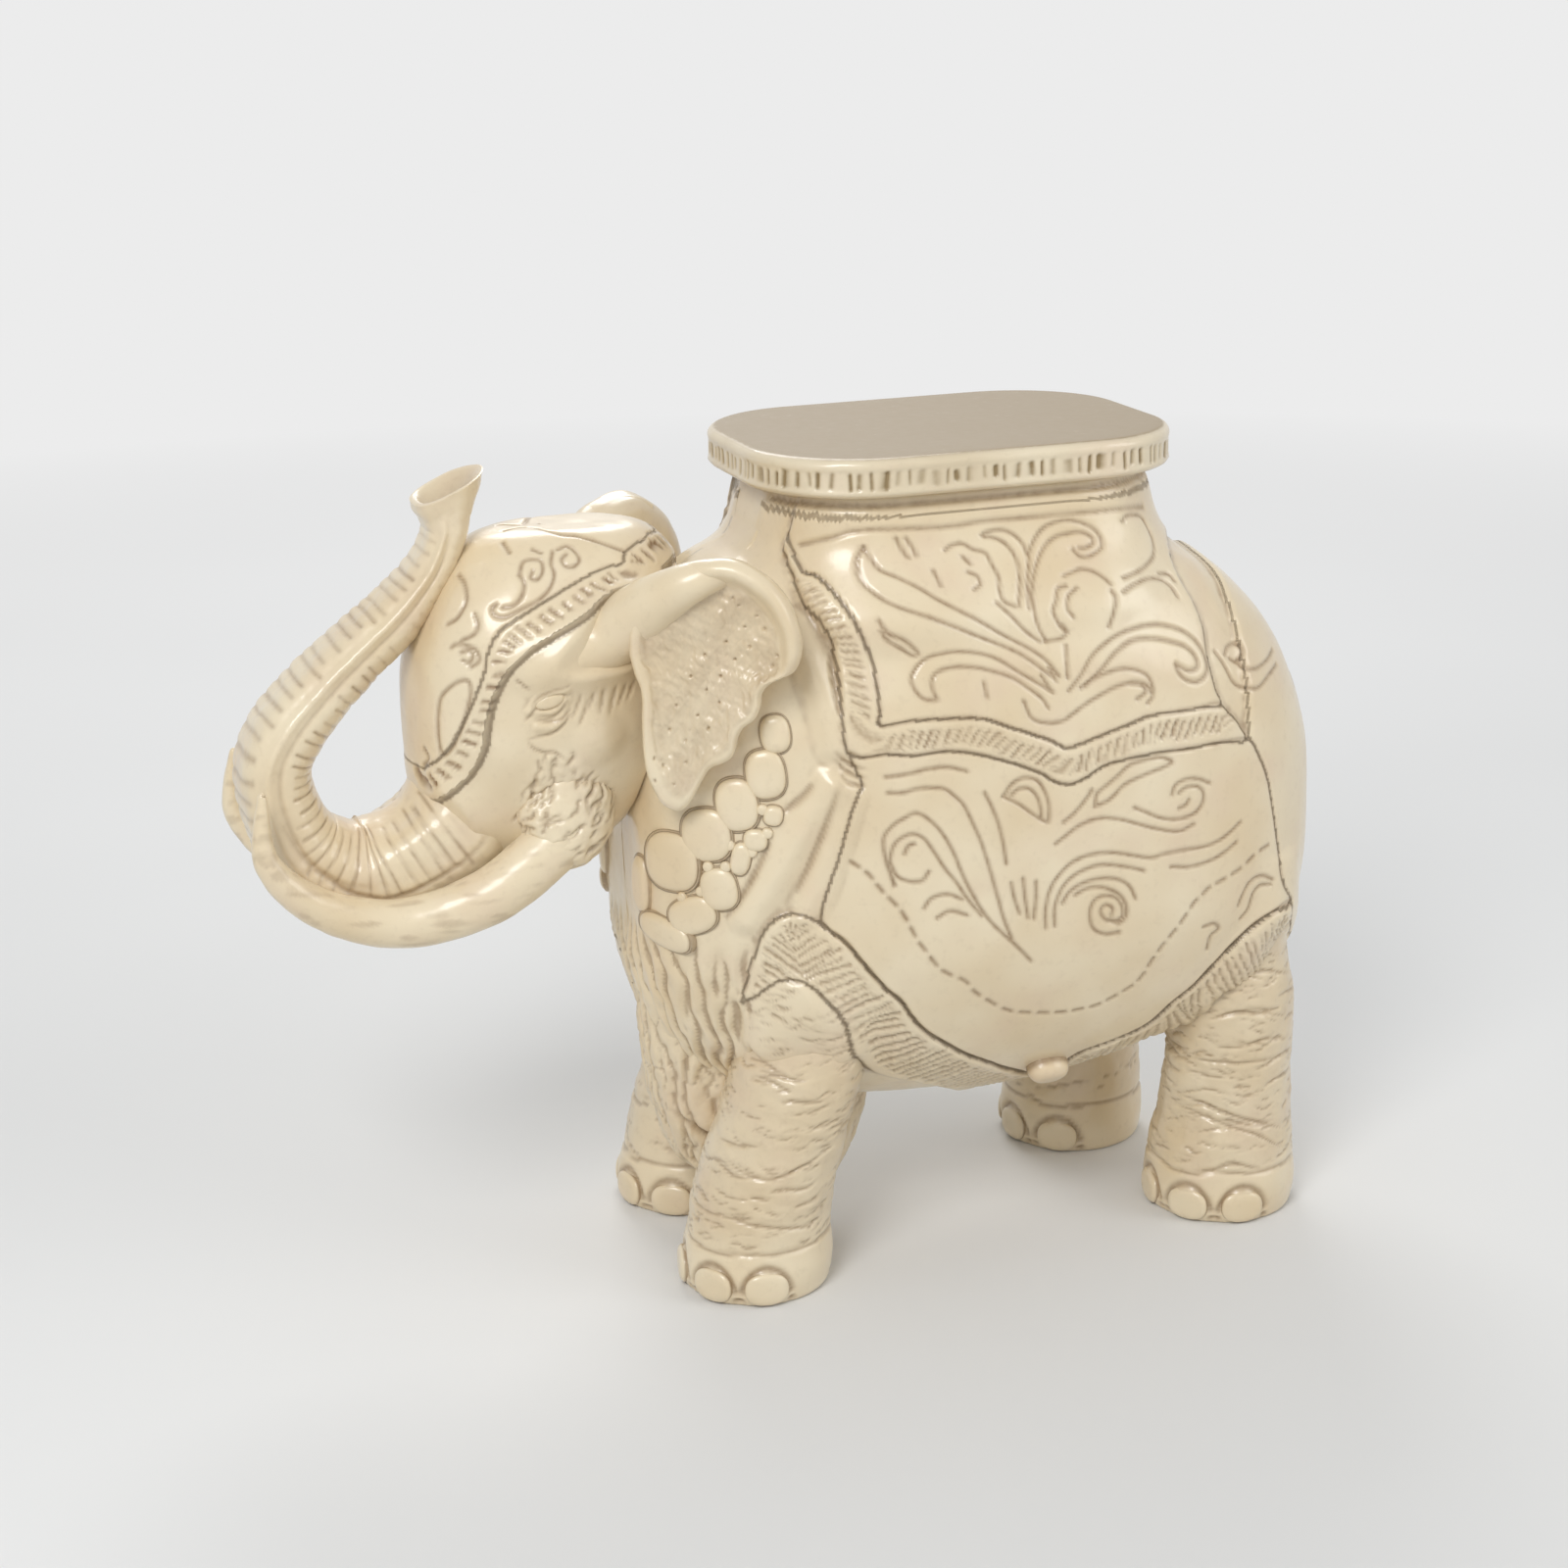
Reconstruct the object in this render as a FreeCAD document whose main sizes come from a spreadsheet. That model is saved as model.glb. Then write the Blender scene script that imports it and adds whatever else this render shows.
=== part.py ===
"""Elephant garden stool: a hollow glazed casting, built from the moulded pieces that a potter lutes together.

The elephant faces -X and its left side is -Y. Z is up and z = 0 is the floor. Every length is in millimetres.
"""
import FreeCAD, Part

import math
import os

from FreeCAD import Placement, Rotation, Vector

QUARTER_TURN = 90
FULL_TURN = 360

doc = FreeCAD.newDocument("elephant_stool")

# Driving dimensions: each row is an alias and its size in millimetres or degrees.
SIZES = [
    ("body_length", 370.0),
    ("chest_x", -91.6),
    ("body_half_width", 112.0),
    ("back_height", 392.0),
    ("girth_height", 212.0),
    ("belly_height", 74.0),
    ("body_wall", 9.0),
    ("vent_radius", 11.0),
    ("vent_x", 88.4),
    ("neck_hole_radius", 20.0),
    ("neck_hole_height", 300.0),
    ("seat_height", 432.0),
    ("seat_x", 84.4),
    ("slab_length", 226.0),
    ("slab_width", 170.0),
    ("slab_corner", 60.0),
    ("slab_thickness", 20.0),
    ("slab_edge_round", 4.0),
    ("collar_top_length", 208.0),
    ("collar_top_width", 150.0),
    ("collar_flare", 22.0),
    ("collar_corner", 56.0),
    ("collar_wall", 9.0),
    ("leg_spread", 58.0),
    ("front_foot_x", -43.6),
    ("front_leg_lean", 42.0),
    ("hind_foot_x", 208.4),
    ("hind_stagger", 18.0),
    ("hind_leg_lean", -4.0),
    ("leg_top_height", 205.0),
    ("front_leg_radius", 40.0),
    ("hind_leg_radius", 41.0),
    ("leg_wall", 9.0),
    ("nail_width", 24.0),
    ("nail_height", 17.0),
    ("nail_proud", 1.5),
    ("nail_lift", 1.5),
    ("web_half_width", 34.0),
    ("web_length", 106.0),
    ("web_foot_height", 32.0),
    ("head_front_x", -199.6),
    ("head_depth", 140.0),
    ("head_half_width", 56.0),
    ("head_top_height", 396.0),
    ("head_tall", 170.0),
    ("head_wall", 8.0),
    ("trunk_reach", 118.0),
    ("trunk_root_x", -171.6),
    ("trunk_base_height", 228.0),
    ("trunk_rise", 200.0),
    ("trunk_radius", 36.0),
    ("tusk_root_x", -133.6),
    ("tusk_reach", 147.0),
    ("tusk_low_height", 214.0),
    ("tusk_rise", 76.0),
    ("tusk_spread", 46.0),
    ("tusk_radius", 14.0),
    ("ear_x", -105.6),
    ("ear_spread", 56.0),
    ("ear_length", 88.0),
    ("ear_height", 119.0),
    ("ear_tip_height", 266.0),
    ("ear_angle", 30.0),
    ("ear_thickness", 14.0),
    ("ear_dish", 6.0),
    ("eye_x", -143.6),
    ("eye_height", 318.0),
    ("eye_spread", 53.0),
    ("eye_length", 18.0),
    ("eye_tall", 11.0),
    ("cloth_thickness", 3.0),
    ("fringe_thickness", 4.5),
    ("head_cloth_thickness", 2.0),
    ("head_border_thickness", 3.0),
    ("plate_length", 26.0),
    ("plate_width", 21.0),
    ("plate_proud", 5.0),
    ("knob_x", 98.4),
    ("knob_height", 122.0),
    ("knob_length", 20.0),
    ("knob_tall", 15.0),
    ("knob_proud", 8.0),
    ("tail_radius", 8.0),
    ("tail_top_height", 330.0),
    ("tail_length", 190.0),
    ("tail_sway", 34.0),
    ("overrun", 30.0),
]

# Body stations from the chest to the rump: place along the body, then the half width, the rise above the girth
# and the drop below it, each as a share of its full size.
BODY_SHARES = [
    (0.0, 0.30, 0.24, 0.30),
    (0.02, 0.47, 0.47, 0.52),
    (0.06, 0.62, 0.73, 0.72),
    (0.13, 0.76, 0.89, 0.87),
    (0.23, 0.87, 0.95, 0.95),
    (0.36, 0.97, 1.0, 0.99),
    (0.50, 1.0, 1.0, 1.0),
    (0.66, 1.0, 0.975, 0.97),
    (0.78, 0.95, 0.885, 0.895),
    (0.87, 0.85, 0.755, 0.79),
    (0.94, 0.69, 0.58, 0.655),
    (0.985, 0.47, 0.37, 0.46),
    (1.0, 0.28, 0.22, 0.28),
]
BODY_POINTS = 20
SHOULDER_POWER = 3.0
BELLY_POWER = 2.1

# Head stations from the jaw to the crown: height, front edge, rear edge and half width, each as a share.
HEAD_SHARES = [
    (0.0, 0.20, 0.62, 0.36),
    (0.10, 0.08, 0.76, 0.58),
    (0.22, 0.02, 0.88, 0.76),
    (0.38, 0.0, 0.96, 0.95),
    (0.55, 0.0, 1.0, 1.0),
    (0.70, 0.03, 1.0, 1.0),
    (0.84, 0.10, 1.0, 0.86),
    (0.94, 0.20, 0.95, 0.64),
    (1.0, 0.40, 0.80, 0.30),
]
HEAD_POINTS = 16
HEAD_POWER = 2.3

# The collar ends inside the body, at this share of the way from the girth to the back.
COLLAR_FOOT_SHARE = 0.75

# Collar levels under the slab: drop as a share of the collar's own fall, and how much of the flare is reached.
COLLAR_SHARES = [(0.0, 0.0), (0.30, -0.12), (0.62, 0.35), (1.0, 1.0)]

# The slab's edge round takes no more than this share of its thickness.
EDGE_ROUND_SHARE = 0.4

# Leg levels from the floor up: height, how much of the lean is reached, and radius, as shares.
FRONT_LEG_SHARES = [
    (0.0, 0.0, 0.95),
    (0.07, 0.01, 1.0),
    (0.17, 0.06, 0.93),
    (0.30, 0.18, 0.92),
    (0.50, 0.52, 0.87),
    (0.72, 0.80, 0.90),
    (1.0, 1.0, 0.95),
]
HIND_LEG_SHARES = [
    (0.0, 0.0, 0.95),
    (0.07, 0.0, 1.0),
    (0.17, -0.2, 0.93),
    (0.30, -0.2, 0.88),
    (0.50, 0.1, 0.91),
    (0.72, 0.6, 0.95),
    (1.0, 1.0, 0.95),
]

# Trunk stations from its root to the nostrils: reach forward, rise, depth and breadth of its oval, as shares.
TRUNK_SHARES = [
    (-0.10, 0.20, 0.98, 1.0),
    (0.23, 0.075, 0.84, 0.95),
    (0.48, 0.015, 0.70, 0.87),
    (0.70, 0.08, 0.62, 0.80),
    (0.80, 0.20, 0.55, 0.77),
    (0.815, 0.31, 0.52, 0.75),
    (0.735, 0.40, 0.505, 0.73),
    (0.60, 0.485, 0.465, 0.69),
    (0.46, 0.56, 0.435, 0.66),
    (0.265, 0.655, 0.41, 0.60),
    (0.105, 0.755, 0.39, 0.55),
    (0.035, 0.84, 0.38, 0.53),
    (0.01, 0.90, 0.39, 0.54),
    (-0.02, 0.945, 0.41, 0.56),
    (-0.06, 0.985, 0.225, 0.33),
]

# Tusk stations from the mouth to the point: reach, rise above the lowest point, spread and radius, as shares.
TUSK_SHARES = [
    (-0.10, 0.62, 0.80, 1.0),
    (0.08, 0.34, 0.94, 1.05),
    (0.30, 0.10, 1.0, 1.0),
    (0.58, 0.0, 0.92, 0.88),
    (0.84, 0.18, 0.94, 0.70),
    (1.0, 0.52, 0.98, 0.46),
    (1.0, 0.92, 0.92, 0.18),
]

# Ear outline in its own plane: along the ear and up from its tip, as shares of its length and height.
EAR_SHARES = [
    (0.0, 0.69),
    (0.14, 0.85),
    (0.40, 0.97),
    (0.67, 1.0),
    (0.86, 0.92),
    (0.99, 0.71),
    (0.98, 0.55),
    (0.86, 0.44),
    (0.75, 0.36),
    (0.59, 0.18),
    (0.41, 0.06),
    (0.25, 0.0),
    (0.11, 0.10),
    (0.045, 0.30),
    (0.0, 0.51),
]
EAR_FIELD_SHARE = 0.82

# Side outlines on the body: along the body from the chest, and up from the belly to the back, as shares.
SADDLE_TOP_SHARES = [(0.692, 1.031), (0.184, 1.031)]
SADDLE_INNER_SHARES = [
    (0.194, 0.979),
    (0.238, 0.873),
    (0.259, 0.730),
    (0.358, 0.723),
    (0.467, 0.686),
    (0.565, 0.626),
    (0.660, 0.654),
    (0.779, 0.679),
]
SADDLE_REAR_SHARES = [(0.754, 0.767), (0.725, 0.894)]
SADDLE_OUTER_SHARES = [
    (0.140, 1.031),
    (0.200, 0.881),
    (0.233, 0.686),
    (0.344, 0.679),
    (0.444, 0.651),
    (0.542, 0.594),
    (0.647, 0.606),
    (0.827, 0.645),
]
DRAPE_INNER_SHARES = [
    (0.189, 0.440),
    (0.273, 0.295),
    (0.373, 0.201),
    (0.495, 0.123),
    (0.594, 0.161),
    (0.746, 0.239),
    (0.887, 0.345),
]
DRAPE_FRONT_SHARES = [(0.211, 0.537)]
DRAPE_REAR_SHARES = [(0.841, 0.559)]
DRAPE_OUTER_SHARES = [
    (0.168, 0.397),
    (0.244, 0.242),
    (0.386, 0.142),
    (0.502, 0.075),
    (0.622, 0.114),
    (0.774, 0.198),
    (0.908, 0.283),
]
RUMP_TOP_SHARES = [(1.05, 0.98), SADDLE_TOP_SHARES[0]]
RUMP_BOTTOM_SHARES = [(1.05, 0.24)]

# Head cloth edge, from the neck down to the trunk: along the head from its front, and up from the jaw, as shares.
HEAD_CLOTH_SHARES = [
    (0.915, 0.90),
    (0.592, 0.757),
    (0.373, 0.633),
    (0.239, 0.492),
    (0.176, 0.340),
    (0.070, 0.225),
]
HEAD_BORDER_SHARE = 0.065

# Collar plates on the left side of the breast and neck, which the right side mirrors: turn from straight ahead
# in degrees, then the rise from the belly to the back and the plate's size as shares.
UPPER_PLATE_SHARES = [
    (67.6, 0.739, 0.62),
    (61.0, 0.682, 0.78),
    (54.4, 0.640, 0.92),
    (46.8, 0.603, 1.06),
    (36.0, 0.562, 1.16),
]
LOWER_PLATE_SHARES = [
    (65.0, 0.614, 0.42),
    (60.4, 0.577, 0.55),
    (54.2, 0.535, 0.68),
    (46.8, 0.504, 0.86),
    (35.2, 0.465, 1.0),
]
BREAST_PLATE_SHARES = [(0.0, 0.535, 1.15), (0.0, 0.43, 1.05)]
PLATE_AXIS_SHARE = 0.25

# Web of skin between the front legs: along it from the front, and up from its foot to the girth, as shares. Its
# middle share stands under the tops of the legs.
WEB_MIDDLE_SHARE = 0.56
WEB_SHARES = [
    (0.06, 0.0),
    (0.0, 0.25),
    (0.02, 0.60),
    (0.20, 0.85),
    (0.80, 0.62),
    (1.0, 0.26),
    (0.80, 0.06),
]

# Toenails round the front of each foot: turning from straight ahead, in degrees.
FRONT_NAIL_TURNS = [-62.0, -14.0, 34.0, 80.0]
HIND_NAIL_TURNS = [-58.0, -12.0, 36.0, 82.0]

# Tail stations from its root to its tuft: drop, radius and swing to the right, as shares.
TAIL_SHARES = [(0.0, 1.0, 0.0), (0.22, 0.95, 0.25), (0.50, 0.85, 0.85), (0.78, 0.85, 1.0), (1.0, 1.0, 0.9)]


def fill_sheet():
    """Keeps every driving dimension in the document's sheet under its alias."""
    table = doc.addObject("Spreadsheet::Sheet", "Sizes")
    for row, (alias, value) in enumerate(SIZES, start=1):
        table.set(f"A{row}", alias)
        table.set(f"B{row}", str(value))
        table.setAlias(f"B{row}", alias)
    doc.recompute()
    return table


sheet = fill_sheet()
parts = []


def size(alias):
    """Reads one driving dimension from the sheet."""
    return float(sheet.get(alias))


def bind(item, **expressions):
    """Binds properties of an object to formulas of the sheet's cells."""
    for name, formula in expressions.items():
        item.setExpression(name, formula)
    return item


def place(item, along, across, up):
    """Binds an object's place to three formulas of the sheet's cells."""
    item.setExpression(".Placement.Base.x", along)
    item.setExpression(".Placement.Base.y", across)
    item.setExpression(".Placement.Base.z", up)
    return item


def form(name, shape):
    """Adds a shape made by code to the document."""
    item = doc.addObject("Part::Feature", name)
    item.Shape = shape
    return item


def minus(name, base, *tools):
    """Cuts each tool from the base in turn. With no tool, the base stays as it is."""
    for number, tool in enumerate(tools):
        last = number == len(tools) - 1
        cut = doc.addObject("Part::Cut", name if last else f"{name}_step_{number}")
        cut.Base = base
        cut.Tool = tool
        base = cut
    return base


def both(name, *items):
    """Keeps what all the objects share."""
    common = doc.addObject("Part::MultiCommon", name)
    common.Shapes = list(items)
    return common


def joined(name, *items):
    """Fuses objects into one."""
    fuse = doc.addObject("Part::MultiFuse", name)
    fuse.Shapes = list(items)
    return fuse


def mirrored(name, item):
    """Mirrors an object across the middle plane of the elephant."""
    twin = doc.addObject("Part::Mirroring", name)
    twin.Source = item
    twin.Normal = Vector(0, 1, 0)
    twin.Base = Vector(0, 0, 0)
    return twin


def group(name, items):
    """Keeps several separate solids as one piece."""
    bundle = doc.addObject("Part::Compound", name)
    bundle.Links = list(items)
    return bundle


def keep(item, label):
    """Names a finished piece, which is written to a file of that name."""
    item.Label = label
    parts.append(item)
    return item


def smooth_loop(points):
    """Makes one closed smooth curve through the points, with evenly spaced knots."""
    curve = Part.BSplineCurve()
    knots = [float(number) for number in range(len(points) + 1)]
    curve.interpolate(Points=points, PeriodicFlag=True, Parameters=knots)
    return Part.Wire([curve.toShape()])


def swelled(cosine, power):
    """Gives the coordinate of a rounded-square curve from a cosine or a sine."""
    return math.copysign(abs(cosine) ** (2 / power), cosine)


def body_outline(station, grow, seam_side):
    """Gives one cross-section of the body, all its edges moved out by grow, starting at the belly or the back."""
    along, width, rise, drop = station
    middle = size("girth_height")
    half_width = width * size("body_half_width") + grow
    up = rise * (size("back_height") - middle) + grow
    down = drop * (middle - size("belly_height")) + grow
    swing = grow * (2 * along - 1)
    points = []
    for number in range(BODY_POINTS):
        turn = 2 * math.pi * number / BODY_POINTS + seam_side * math.pi / 2
        power = SHOULDER_POWER if math.sin(turn) > 0 else BELLY_POWER
        lift = up if math.sin(turn) > 0 else down
        points.append(Vector(
            size("chest_x") + along * size("body_length") + swing,
            half_width * swelled(math.cos(turn), power),
            middle + lift * swelled(math.sin(turn), power)))
    return smooth_loop(points)


def body_form(name, grow, seam_side=-1):
    """Lofts the barrel of the body, grown or shrunk by a wall. Its seam runs along the belly (-1) or the back (1)."""
    wires = [body_outline(station, grow, seam_side) for station in BODY_SHARES]
    return form(name, Part.makeLoft(wires, True, False))


def head_outline(station, grow):
    """Gives one level cross-section of the head."""
    rise, front, rear, width = station
    first = size("head_front_x") + front * size("head_depth") - grow
    last = size("head_front_x") + rear * size("head_depth") + grow
    half_width = width * size("head_half_width") + grow
    level = size("head_top_height") - size("head_tall") * (1 - rise) + grow * (2 * rise - 1)
    points = []
    for number in range(HEAD_POINTS):
        turn = 2 * math.pi * number / HEAD_POINTS
        points.append(Vector(
            (first + last) / 2 + (last - first) / 2 * swelled(math.cos(turn), HEAD_POWER),
            half_width * swelled(math.sin(turn), HEAD_POWER),
            level))
    return smooth_loop(points)


def head_form(name, grow):
    """Lofts the head from the jaw to the crown, grown or shrunk by a wall."""
    return form(name, Part.makeLoft([head_outline(station, grow) for station in HEAD_SHARES], True, False))


def rounded_rectangle(length, width, corner, level):
    """Makes a level rectangle with round corners about the middle of the seat."""
    half_length = length / 2
    half_width = width / 2
    corner = min(corner, half_width - size("slab_edge_round"))
    middles = [(1, 1), (-1, 1), (-1, -1), (1, -1)]
    edges = []
    starts = []
    for number, (side_x, side_y) in enumerate(middles):
        centre = Vector(
            size("seat_x") + side_x * (half_length - corner), side_y * (half_width - corner), level)
        first = math.pi / 2 * number
        corner_points = [
            centre + Vector(corner * math.cos(first + turn), corner * math.sin(first + turn), 0)
            for turn in (0, math.pi / 4, math.pi / 2)]
        edges.append(Part.Arc(*corner_points).toShape())
        starts.append((corner_points[0], corner_points[-1]))
    wires = []
    for number, edge in enumerate(edges):
        after = starts[(number + 1) % len(starts)][0]
        wires.append(edge)
        wires.append(Part.LineSegment(starts[number][1], after).toShape())
    return Part.Wire(wires)


def collar_form(name, grow):
    """Lofts the cove between the slab and the back, grown or shrunk by a wall."""
    top = size("seat_height") - size("slab_thickness")
    foot = size("girth_height") + COLLAR_FOOT_SHARE * (size("back_height") - size("girth_height"))
    wires = []
    for drop, flare in COLLAR_SHARES:
        spread = 2 * (flare * size("collar_flare") + grow)
        wires.append(rounded_rectangle(
            size("collar_top_length") + spread,
            size("collar_top_width") + spread,
            size("collar_corner") + spread / 2,
            top - drop * (top - foot)))
    return form(name, Part.makeLoft(wires, True, False))


def facing(direction):
    """Turns an object's own Z to a direction, with its own Y as near to the elephant's Y as can be."""
    return Rotation(Vector(0, 0, 0), Vector(0, 1, 0), direction, "ZYX")


def ring(name, centre, direction, formula):
    """Makes one circle of a round piece, with its radius bound to the sheet."""
    circle = doc.addObject("Part::Circle", name)
    circle.Placement = Placement(centre, facing(direction))
    return bind(circle, Radius=formula)


def lofted(name, rings):
    """Lofts a solid through rings."""
    loft = doc.addObject("Part::Loft", name)
    loft.Sections = rings
    loft.Solid = True
    return loft


def round_piece(name, centres, formulas):
    """Lofts a round solid whose rings stand square to the line through their centres."""
    rings = []
    for number, centre in enumerate(centres):
        before = centres[max(number - 1, 0)]
        after = centres[min(number + 1, len(centres) - 1)]
        rings.append(ring(f"{name}_ring_{number}", centre, after - before, formulas[number]))
    return lofted(name, rings)


def leg_form(name, shares, foot_x, lean, side, radius, inner):
    """Lofts one leg, whole or as its hollow, through level rings from the sole to the top."""
    rings = []
    for number, (rise, reach, girth) in enumerate(shares):
        circle = doc.addObject("Part::Circle", f"{name}_ring_{number}")
        wall = " - Sizes.leg_wall" if inner else ""
        floor = "Sizes.leg_wall" if inner and number == 0 else f"Sizes.leg_top_height * {rise}"
        bind(circle, Radius=f"Sizes.{radius} * {girth}{wall}")
        place(circle, f"{foot_x} + Sizes.{lean} * {reach}", f"{side} * Sizes.leg_spread", floor)
        rings.append(circle)
    return lofted(name, rings)


def side_wire(name, outline, along_from, along_size, up_from, up_size):
    """Makes a closed outline on the middle plane from shares of two sizes."""
    wire = doc.addObject("Part::Polygon", name)
    wire.Nodes = [
        Vector(along_from + along * along_size, 0, up_from + rise * up_size) for along, rise in outline]
    wire.Close = True
    return wire


def prism(name, wire, start, finish):
    """Extrudes an outline of the middle plane sideways, from one distance to another."""
    block = doc.addObject("Part::Extrusion", name)
    block.Base = wire
    block.DirMode = "Custom"
    block.Dir = Vector(0, 1, 0)
    block.Solid = True
    block.LengthFwd = finish
    block.LengthRev = -start
    return block


def body_prism(name, outline, start, finish):
    """Extrudes an outline given in shares of the body."""
    wire = side_wire(
        f"{name}_outline", outline, size("chest_x"), size("body_length"),
        size("belly_height"), size("back_height") - size("belly_height"))
    return prism(name, wire, start, finish)


def head_prism(name, outline):
    """Extrudes an outline given in shares of the head, across the whole head."""
    reach = size("head_half_width") + size("overrun")
    wire = side_wire(
        f"{name}_outline", outline, size("head_front_x"), size("head_depth"),
        size("head_top_height") - size("head_tall"), size("head_tall"))
    return prism(name, wire, -reach, reach)


def make_slab():
    """Makes the flat seat with round corners and softened edges."""
    body = doc.addObject("PartDesign::Body", "seat_body")
    sketch = body.newObject("Sketcher::SketchObject", "seat_outline")
    plane = next(item for item in body.Origin.OriginFeatures if item.Role == "XY_Plane")
    sketch.AttachmentSupport = (plane, "")
    sketch.MapMode = "FlatFace"
    long_half = size("slab_length") / 2
    wide_half = size("slab_width") / 2
    corner = size("slab_corner")
    sides = [
        (Vector(corner - long_half, -wide_half, 0), Vector(long_half - corner, -wide_half, 0)),
        (Vector(long_half, corner - wide_half, 0), Vector(long_half, wide_half - corner, 0)),
        (Vector(long_half - corner, wide_half, 0), Vector(corner - long_half, wide_half, 0)),
        (Vector(-long_half, wide_half - corner, 0), Vector(-long_half, corner - wide_half, 0)),
    ]
    for start, finish in sides:
        sketch.addGeometry(Part.LineSegment(start, finish), False)
    for number in range(len(sides)):
        start = sides[number][1]
        finish = sides[(number + 1) % len(sides)][0]
        centre = Vector(
            math.copysign(long_half - corner, start.x + finish.x),
            math.copysign(wide_half - corner, start.y + finish.y), 0)
        outward = ((start + finish) / 2 - centre).normalize()
        sketch.addGeometry(Part.Arc(start, centre + outward * corner, finish), False)
    body_pad = body.newObject("PartDesign::Pad", "seat_pad")
    body_pad.Profile = sketch
    bind(body_pad, Length="Sizes.slab_thickness")
    doc.recompute()
    soft = body.newObject("PartDesign::Fillet", "seat_soft_edges")
    level_edges = [
        f"Edge{number}" for number, edge in enumerate(body_pad.Shape.Edges, start=1)
        if edge.BoundBox.ZLength < size("slab_edge_round")]
    soft.Base = (body_pad, level_edges)
    bind(soft, Radius=f"min(Sizes.slab_edge_round; Sizes.slab_thickness * {EDGE_ROUND_SHARE})")
    place(body, "Sizes.seat_x", "0", "Sizes.seat_height - Sizes.slab_thickness")
    return keep(body, "seat_slab")


def ellipsoid(name, along_radius, across_radius, up_radius):
    """Makes a whole ellipsoid with its three radii bound to the sheet."""
    ball = doc.addObject("Part::Ellipsoid", name)
    ball.Angle1 = -QUARTER_TURN
    ball.Angle2 = QUARTER_TURN
    ball.Angle3 = FULL_TURN
    return bind(ball, Radius1=up_radius, Radius2=along_radius, Radius3=across_radius)


def make_legs(body_whole):
    """Makes the four hollow legs and the group of toenails on each foot."""
    hollows = []
    wholes = {}
    for end, shares, lean, radius, turns in (
            ("front", FRONT_LEG_SHARES, "front_leg_lean", "front_leg_radius", FRONT_NAIL_TURNS),
            ("rear", HIND_LEG_SHARES, "hind_leg_lean", "hind_leg_radius", HIND_NAIL_TURNS)):
        for side_name, side in (("left", -1), ("right", 1)):
            foot_x = "Sizes.front_foot_x"
            if end == "rear":
                foot_x = f"Sizes.hind_foot_x - {side} * Sizes.hind_stagger"
            title = f"{end}_{side_name}"
            whole = leg_form(f"{title}_leg_whole", shares, foot_x, lean, side, radius, False)
            hollow = leg_form(f"{title}_leg_hollow", shares, foot_x, lean, side, radius, True)
            leg = minus(f"{title}_leg_cut", whole, hollow, body_whole)
            keep(leg, f"{title}_leg")
            keep(make_nails(title, whole, foot_x, side, radius, turns), f"{title}_toenails")
            hollows.append(hollow)
            wholes[title] = whole
    return wholes, hollows


def make_nails(title, leg_whole, foot_x, side, radius, turns):
    """Makes the low domed nails that stand a little proud of one foot, cut off level with its sole."""
    nails = []
    for number, turn in enumerate(turns):
        nail = ellipsoid(
            f"{title}_nail_{number}", "Sizes.nail_proud * 2", "Sizes.nail_width / 2", "Sizes.nail_height")
        nail.Placement.Rotation = Rotation(Vector(0, 0, 1), -side * turn)
        reach = f"(Sizes.{radius} - Sizes.nail_proud)"
        place(
            nail, f"{foot_x} - {reach} * {math.cos(math.radians(turn))}",
            f"{side} * (Sizes.leg_spread + {reach} * {math.sin(math.radians(turn))})", "0")
        nails.append(nail)
    space = doc.addObject("Part::Box", f"{title}_nail_space")
    reach = f"(Sizes.{radius} + Sizes.nail_width)"
    bind(space, Length=f"2 * {reach}", Width=f"2 * {reach}", Height="Sizes.nail_height * 2")
    place(space, f"{foot_x} - {reach}", f"{side} * Sizes.leg_spread - {reach}", "Sizes.nail_lift")
    return minus(f"{title}_nail_cut", both(f"{title}_nails_above", group(f"{title}_nails", nails), space), leg_whole)


def make_trunk():
    """Makes the raised trunk, which curls back to touch the forehead."""
    centres = [
        Vector(
            size("trunk_root_x") - reach * size("trunk_reach"), 0,
            size("trunk_base_height") + rise * size("trunk_rise"))
        for reach, rise, _, _ in TRUNK_SHARES]
    rings = []
    for number, (_, _, depth, breadth) in enumerate(TRUNK_SHARES):
        before = centres[max(number - 1, 0)]
        after = centres[min(number + 1, len(centres) - 1)]
        oval = doc.addObject("Part::Ellipse", f"trunk_ring_{number}")
        oval.Placement = Placement(
            centres[number], Rotation(Vector(0, 1, 0), Vector(0, 0, 0), after - before, "ZXY"))
        bind(oval, MajorRadius=f"Sizes.trunk_radius * {breadth}", MinorRadius=f"Sizes.trunk_radius * {depth}")
        rings.append(oval)
    return lofted("trunk_whole", rings)


def make_tusk(side_name, side):
    """Makes one tusk, which sweeps forward under the trunk and curls up beside it."""
    centres = [
        Vector(
            size("tusk_root_x") - reach * size("tusk_reach"),
            side * spread * size("tusk_spread"),
            size("tusk_low_height") + rise * size("tusk_rise"))
        for reach, rise, spread, _ in TUSK_SHARES]
    formulas = [f"Sizes.tusk_radius * {girth}" for _, _, _, girth in TUSK_SHARES]
    return round_piece(f"{side_name}_tusk_whole", centres, formulas)


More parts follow.
